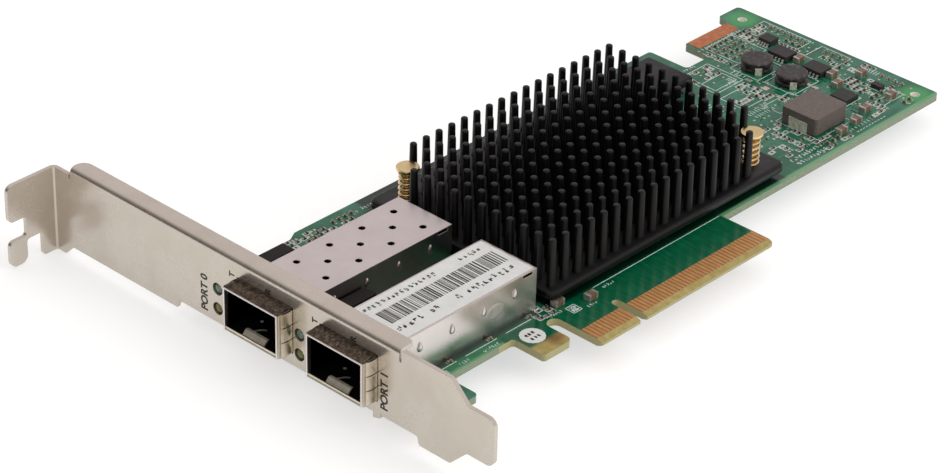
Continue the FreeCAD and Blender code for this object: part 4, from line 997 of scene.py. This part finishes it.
# each word with its lowest Y, its lowest and highest Z and its letters' height
words = {
    "port0": ("PORT 0", 61.7, -1.6, 6.4, 1.95), "port1": ("PORT 1", 13.4, -1.3, 6.6, 1.95),
    "transmit0": ("T", 54.1, 9.2, 10.4, 1.45), "receive0": ("R", 44.1, 9.95, 11.2, 1.55),
    "transmit1": ("T", 31.7, 9.2, 10.4, 1.45), "receive1": ("R", 21.6, 9.95, 11.2, 1.55)}
lettering = {"face": -56.0, "thickMm": 0.015, "bold": 0.034, "extrude": 0.004}


# A word: the outlines of its letters, scaled to one and laid on the bracket's face, reading upwards
def wordPart(name, body, y, low, high, tall):
    curve = bpy.data.curves.new(name, "FONT")
    curve.body = body
    curve.extrude = lettering["extrude"]
    curve.offset = lettering["bold"]
    helper = bpy.data.objects.new(name + "Outline", curve)
    scene.collection.objects.link(helper)
    mesh = bpy.data.meshes.new_from_object(helper.evaluated_get(bpy.context.evaluated_depsgraph_get()))
    bpy.data.objects.remove(helper)
    flat = np.empty(len(mesh.vertices) * 3)
    mesh.vertices.foreach_get("co", flat)
    flat = flat.reshape(-1, 3)
    flat = (flat - flat.min(0)) / (flat.max(0) - flat.min(0))
    points = np.stack([lettering["face"] - lettering["thickMm"] * flat[:, 2], y + tall * flat[:, 1],
                       low + (high - low) * flat[:, 0]], -1)
    faces = [list(face.vertices) for face in mesh.polygons]
    bpy.data.meshes.remove(mesh)
    return points, faces


for name, word in words.items():
    buildPiece(name, [wordPart(name, *word)], "printInk")
print("print made")

# lamps: place, size and power
studio = {
    "floorZ": -7.12, "floorSize": 6.0, "floorShade": "#BDBBB9", "glow": 0.6, "fill": 0.32, "room": 0.84,
    "lamps": {"overhead": ((0.15, 0.25, 1.5), 2.2, 11.5), "front": ((0.6, -1.1, 0.9), 1.5, 15.0),
        "side": ((-1.1, -0.3, 0.9), 1.0, 2.0)},
    "target": (0.02, 0.04, 0.0), "darkWay": (-0.82, 0.57, 0.0),
    "roomShades": ((0.5, "#ECE3E5"), (0.76, "#A0968E"), (0.9, "#4A4038"), (0.98, "#0C0906"))}


def makeFloor():
    s = studio
    half = s["floorSize"] / 2
    corners = ((-half, -half), (half, -half), (half, half), (-half, half))
    mesh = bpy.data.meshes.new("floor")
    mesh.from_pydata([(x, y, s["floorZ"] * mm) for x, y in corners], [], [(0, 1, 2, 3)])
    floor = bpy.data.objects.new("floor", mesh)
    scene.collection.objects.link(floor)
    material, tree = newMaterial("paleFloor")
    path = addNode(tree, "LightPath")
    seen = path["Is Camera Ray"]
    for ray in ("Is Glossy Ray", "Is Transmission Ray"):
        seen = addNode(tree, "Math", {0: seen, 1: path[ray]}, operation="ADD", use_clamp=True)[0]
    level = addNode(tree, "Math", {0: seen, 1: s["glow"]}, operation="MULTIPLY")[0]
    glow = addNode(tree, "Emission", {"Color": "#FFFFFF", "Strength": level})
    matt = addNode(tree, "BsdfDiffuse", {"Color": s["floorShade"]})
    both = addNode(tree, "AddShader", {0: glow[0], 1: matt[0]})
    addNode(tree, "OutputMaterial", {"Surface": both[0]})
    mesh.materials.append(material)


# A soft white room; metal sees it a little pink, and dark along the horizon on the side away from the lamps
def makeRoom():
    s = studio
    world = bpy.data.worlds.new("softRoom")
    scene.world = world
    world.use_nodes = True
    tree = world.node_tree
    tree.nodes.clear()
    way = addNode(tree, "TexCoord")["Generated"]
    dark = Vector(s["darkWay"]).normalized()
    facing = addNode(tree, "VectorMath", {0: way, 1: dark}, operation="DOT_PRODUCT")["Value"]
    shade = addNode(tree, "ValToRGB", {"Fac": facing}, s["roomShades"])["Color"]
    path = addNode(tree, "LightPath")
    seen = addNode(tree, "Math", {0: path["Is Glossy Ray"], 1: path["Is Transmission Ray"]},
                   operation="ADD", use_clamp=True)[0]
    room = addNode(tree, "Background", {"Color": shade, "Strength": s["room"]})[0]
    soft = addNode(tree, "Background", {"Color": "#FFFFFF", "Strength": s["fill"]})[0]
    both = addNode(tree, "MixShader", {0: seen, 1: soft, 2: room})
    addNode(tree, "OutputWorld", {"Surface": both[0]})


def makeLamps():  # soft lamps that metal doesn't mirror, because it sees the room
    for name, (place, size, power) in studio["lamps"].items():
        lamp = bpy.data.lights.new(name, "AREA")
        lamp.size = size
        lamp.energy = power
        holder = bpy.data.objects.new(name, lamp)
        holder.location = place
        holder.visible_glossy = False
        way = Vector(studio["target"]) - Vector(place)
        holder.rotation_euler = way.to_track_quat("-Z", "Y").to_euler()
        scene.collection.objects.link(holder)


makeFloor()
makeRoom()
makeLamps()

view = {
    "place": (-0.4083977, -0.3324642, 0.3405705), "forward": (0.625049, 0.578365, -0.524221),
    "up": (0.368381, 0.373523, 0.851338), "focalPixels": 3283.44, "imageWidth": 943, "sensorMm": 36.0,
    "nearest": 0.01}


def makeCamera():
    forward, up = Vector(view["forward"]).normalized(), Vector(view["up"])
    right = forward.cross(up).normalized()
    up = right.cross(forward)
    camera = bpy.data.cameras.new("photoView")
    camera.sensor_fit = "HORIZONTAL"
    camera.sensor_width = view["sensorMm"]
    camera.lens = view["focalPixels"] * camera.sensor_width / view["imageWidth"]
    camera.clip_start = view["nearest"]
    holder = bpy.data.objects.new("photoView", camera)
    turn = Matrix((right, up, -forward)).transposed().to_4x4()
    holder.matrix_world = Matrix.Translation(Vector(view["place"])) @ turn
    scene.collection.objects.link(holder)
    scene.camera = holder


makeCamera()
scene.view_settings.view_transform = "Standard"
print("studio and camera set")

bpy.context.view_layer.update()
